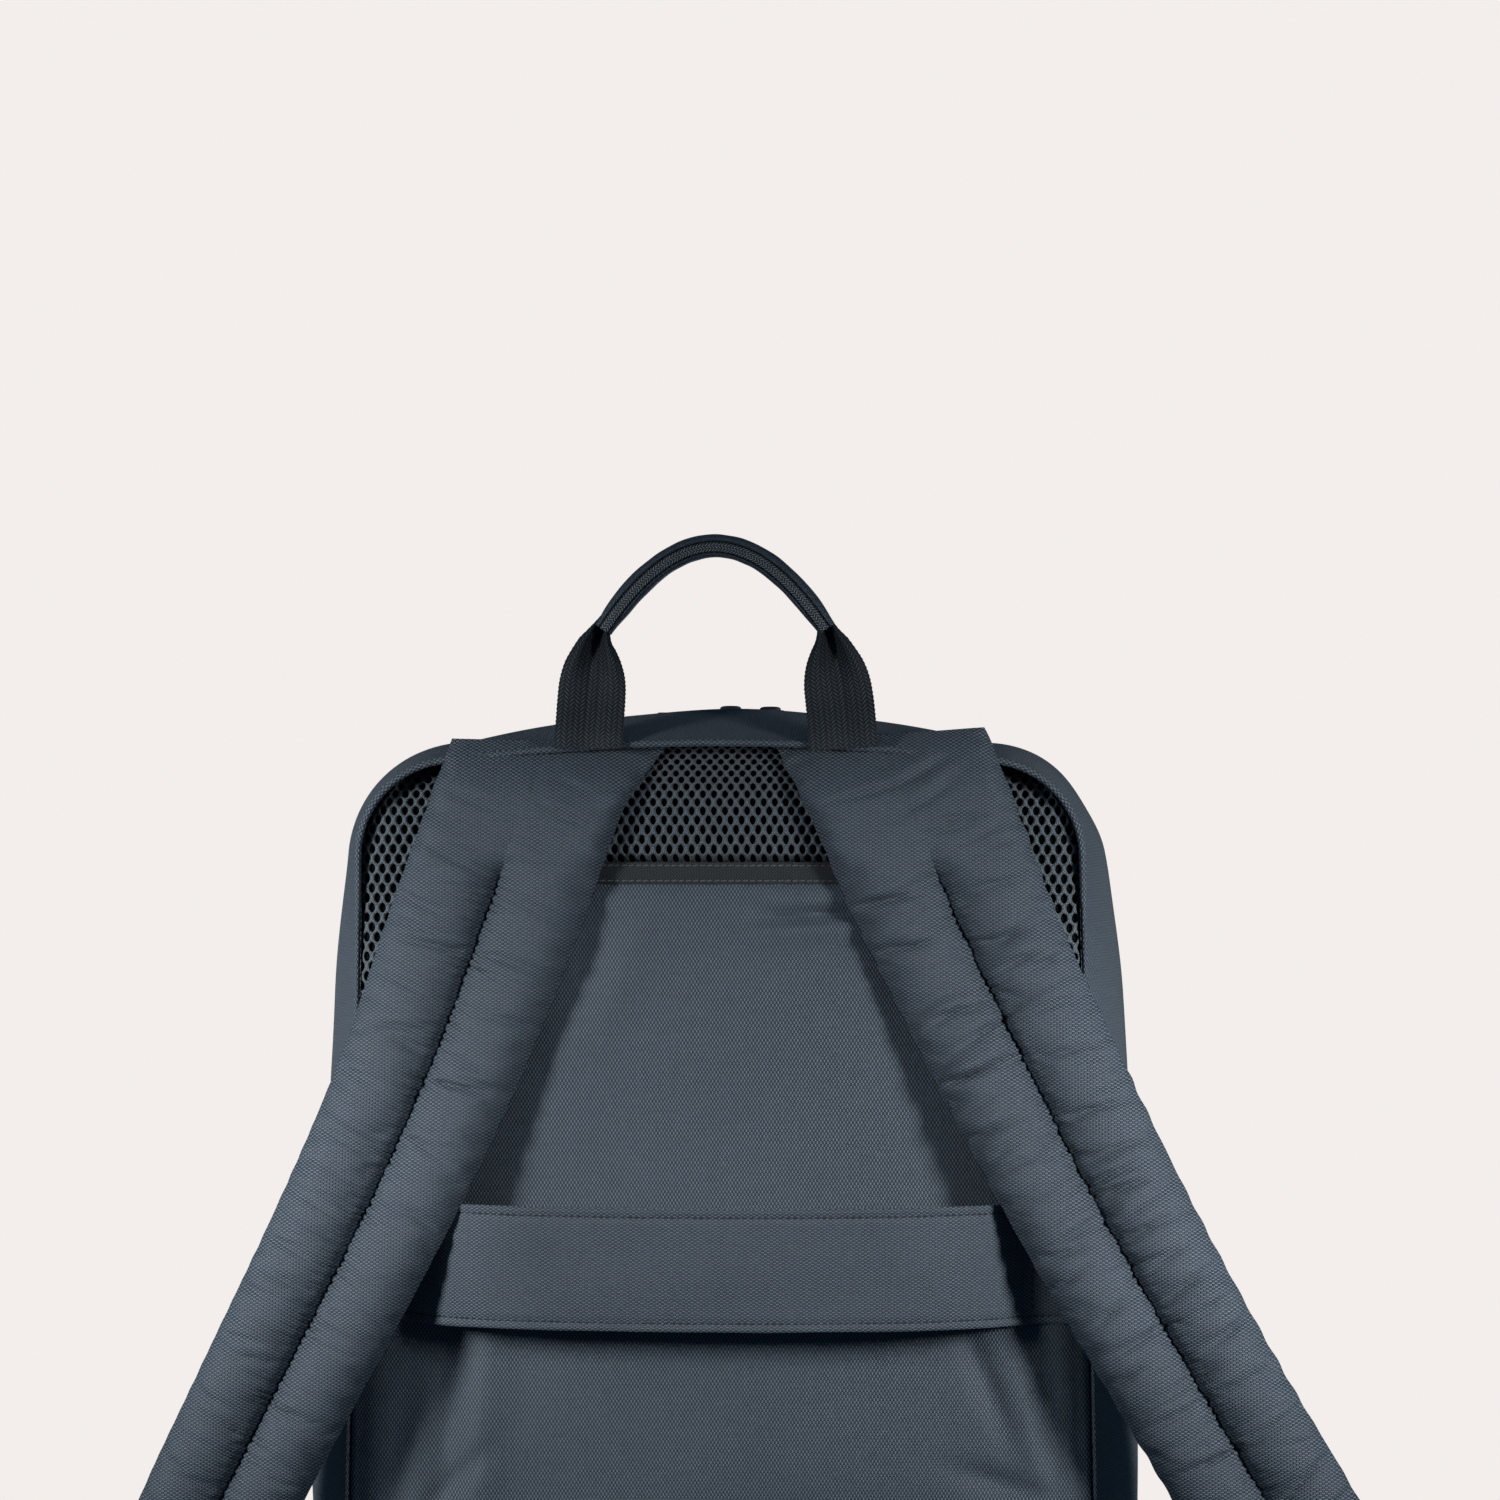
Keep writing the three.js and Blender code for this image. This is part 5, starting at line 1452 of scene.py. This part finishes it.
def lock_bar(middle):
    """The middle bar, grooved along its length, from side to side of the frame."""
    end = LOCK.half - LOCK.mid_in
    x = np.linspace(-end, end, 40)
    cut = section(LOCK.mid_bar / 2 - LOCK.mid_slim, LOCK.thick / 2 - LOCK.mid_slim)
    ridged = (1 + LOCK.ridge * np.cos(2 * np.pi * x / LOCK.ridge_pitch))[:, None]
    y = LOCK.y + cut[None, :, 1] * ridged
    return loft(xyz(middle + x[:, None], y, (LOCK.top + LOCK.bottom) / 2 + cut[None, :, 0]))


def lock_loop(middle):
    """A flat loop of webbing: two upright runs from the strap's end and a half round under the top bar."""
    turn = np.linspace(0, np.pi, 25)
    high, low = [LOOP.rise, LOOP.rise / 2], LOCK.bar / 2 + LOOP.clear
    y = np.concatenate([[-1, -1], -np.cos(turn), [1, 1]]) * (LOCK.thick / 2 + LOOP.clear) + LOCK.y
    z = np.concatenate([high, -np.sin(turn) * low, high[::-1]]) + LOCK.top - LOCK.bar / 2
    way = unit(np.gradient(np.stack([y, z], axis=-1), axis=0))
    a = np.linspace(-1, 1, 29)[None, :]
    thick = LOOP.thick / 2 * soft_edges(a)
    x = middle + LOOP.half * a

    def side(sign):
        return xyz(x, y[:, None] + sign * thick * way[:, 1:], z[:, None] - sign * thick * way[:, :1])

    return wall(side(1), side(-1))


for name in STRAPS:
    lock_shapes = [lock_frame(lock_middle(name)), lock_bar(lock_middle(name))]
    piece(f"lock_loop_{name}", [lock_loop(lock_middle(name))], WEBBING)
    piece(f"strap_lock_{name}", lock_shapes, PLASTIC, [f"ladder_lock_{name}"])

# %% [markdown]
# The adjusting webbing leaves its tab on edge, turns flat as it hangs in a slack bow, goes up behind the
# lock, over its middle bar and down in front. A ribbon that twists needs two things at each station of its
# course: a place and a width direction. The tab is cut wide where the side seam holds it and narrow at its
# tip.

# %% Lower webbing and tabs
LOWER = Sizes(width=25, thick=1.3, sewn_in=6)
LOWER_COURSE = table("share y z wide_x wide_y wide_z",
                     (0, -73, 32.4, 0, 0, 1), (0.14, -77, 29.8, 0, -0.1, 1), (0.36, -81.5, 22, 0, -0.6, 0.8),
                     (0.64, -86, 15.5, 0.1, -0.95, 0.35), (0.88, -90, 19, 0.5, -0.86, 0.1),
                     (1, -92.8, 32, 1, 0, 0), (1, -93.3, 44, 1, 0, 0), (1, -93.3, 53, 1, 0, 0),
                     (1, -94, 58, 1, 0, 0), (1, -97.5, 59.6, 1, 0, 0), (1, -101, 58, 1, 0, 0),
                     (1, -101.7, 53, 1, 0, 0), (1, -101.8, 42, 1, 0, 0), (1, -102.8, 22, 1, 0, 0))
TAB = Sizes(thick=3, edge=0.12, edge_floor=0.35, edge_rise=0.65, tip=3, tip_gap=0.3, tip_floor=0.6,
            tip_rise=0.4, wave=0.25, box_near=148, box_far=161.5, box_half=0.75)
TAB_COURSE = table("x y z half", (143.4, -67.9, 36, 22), (152, -70.4, 34, 18), (164, -75.6, 31, 13.2))


def lower_webbing(name):
    """A ribbon through the table's stations; its width direction is kept square to its run."""
    side = STRAPS[name].side
    tip = side * (TAB_COURSE["x"][-1] - LOWER.sewn_in)
    rows = dict(LOWER_COURSE, number=np.arange(len(LOWER_COURSE["z"]), dtype=float))
    at = np.linspace(0, rows["number"][-1], 160)
    share, y, z, *wide = (read(rows, "number", label, at) for label in LOWER_COURSE)
    centres = xyz(lerp(tip, lock_middle(name), share), y, z)
    wide = xyz(*wide) * (-side, 1, 1)
    way = unit(np.gradient(centres, axis=0))
    wide = unit(wide - way * np.sum(wide * way, axis=1, keepdims=True))
    up = np.cross(way, wide)
    a = np.linspace(-1, 1, 25)[None, :, None]
    line = centres[:, None] + wide[:, None] * LOWER.width / 2 * a
    half_thick = up[:, None] * (LOWER.thick / 2 * soft_edges(a))
    length = np.linalg.norm(np.diff(centres, axis=0), axis=1).sum()
    return wall(line + half_thick, line - half_thick), length


def strap_tab(name):
    """A doubled cloth tab, wide in the seam and as wide as the webbing at its tip, soft at its edges."""
    side = STRAPS[name].side
    x = np.linspace(TAB_COURSE["x"][0], TAB_COURSE["x"][-1], 40)[:, None]
    a = np.linspace(-1, 1, 41)[None, :]
    z = read(TAB_COURSE, "x", "z", x) + read(TAB_COURSE, "x", "half", x) * a
    edge = TAB.edge_floor + TAB.edge_rise * rolled(1 - np.abs(a), TAB.edge)
    tip = TAB.tip_floor + TAB.tip_rise * rolled(TAB_COURSE["x"][-1] + TAB.tip_gap - x, TAB.tip)
    thick = TAB.thick / 2 * edge * tip
    y = read(TAB_COURSE, "x", "y", x) + TAB.wave * dapple(x, z, length=16, seed=111)
    near, far, half = TAB.box_near, TAB.box_far, TAB.box_half
    box = np.array([(near, -half), (far, -half), (far, half), (near, half), (near, -half)])
    bx, share = np.concatenate([np.linspace(box[k], box[k + 1], 12) for k in range(4)]).T
    bz = read(TAB_COURSE, "x", "z", bx) + read(TAB_COURSE, "x", "half", bx) * share
    line = xyz(side * bx, read(TAB_COURSE, "x", "y", bx) - TAB.thick / 2, bz)
    return wall(xyz(side * x, y - thick, z), xyz(side * x, y + thick, z)), stitch_row(line, OUT)


for name in STRAPS:
    shape, length = lower_webbing(name)
    webbing = piece(f"lower_webbing_{name}", [shape], WEBBING, [f"strap_webbing_{name}"])
    tab_shape, tab_stitches = strap_tab(name)
    tab = piece(f"seam_tab_{name}", [tab_shape], NYLON, [f"strap_tab_{name}"])
    tab_thread = piece(f"tab_stitches_{name}", [tab_stitches], STITCH)

# %% [markdown]
# The stage is a round pale floor that fades out at its rim, so that every view ends in the same pale
# surround. It glows a little by itself, because lamps that suit dark cloth would leave it grey, and the bag
# doesn't see that glow.

# %% Floor
FLOOR = Sizes(radius=1500, z=-0.4, pale=0.4, glow=0.72, rough=0.8, fade_from=0.3, fade_to=0.68)


def pale_floor():
    """A disc of rings; its material's alpha falls from 1 to 0 towards the rim."""
    far = np.linspace(0.001, 1, 12)[:, None] * FLOOR.radius
    turn = turns(64)[None, :]
    rings = xyz(far * np.cos(turn), far * np.sin(turn), FLOOR.z)
    points, faces, _ = grid(rings, loop_v=True)
    mesh = bpy.data.meshes.new("floor")
    mesh.from_pydata((points * MM).tolist(), [], faces.tolist())
    material = bpy.data.materials.new("pale floor")
    material.use_nodes = True
    tree = material.node_tree
    shader = tree.nodes["Principled BSDF"]
    shader.inputs["Base Color"].default_value = [FLOOR.pale * value for value in PALE[:3]] + [1]
    shader.inputs["Emission Color"].default_value = PALE
    shader.inputs["Emission Strength"].default_value = FLOOR.glow
    shader.inputs["Roughness"].default_value = FLOOR.rough
    place = node(tree, "TexCoord", {}).outputs["Object"]
    away = node(tree, "VectorMath", {0: place}, operation="LENGTH").outputs["Value"]
    start, end = (share * FLOOR.radius * MM for share in (FLOOR.fade_from, FLOOR.fade_to))
    fade = node(tree, "MapRange", {0: away, 1: start, 2: end, 3: 1.0, 4: 0.0})
    tree.links.new(fade.outputs[0], shader.inputs["Alpha"])
    mesh.materials.append(material)
    floor = bpy.data.objects.new("floor", mesh)
    scene.collection.objects.link(floor)
    floor.visible_diffuse = floor.visible_glossy = False


pale_floor()
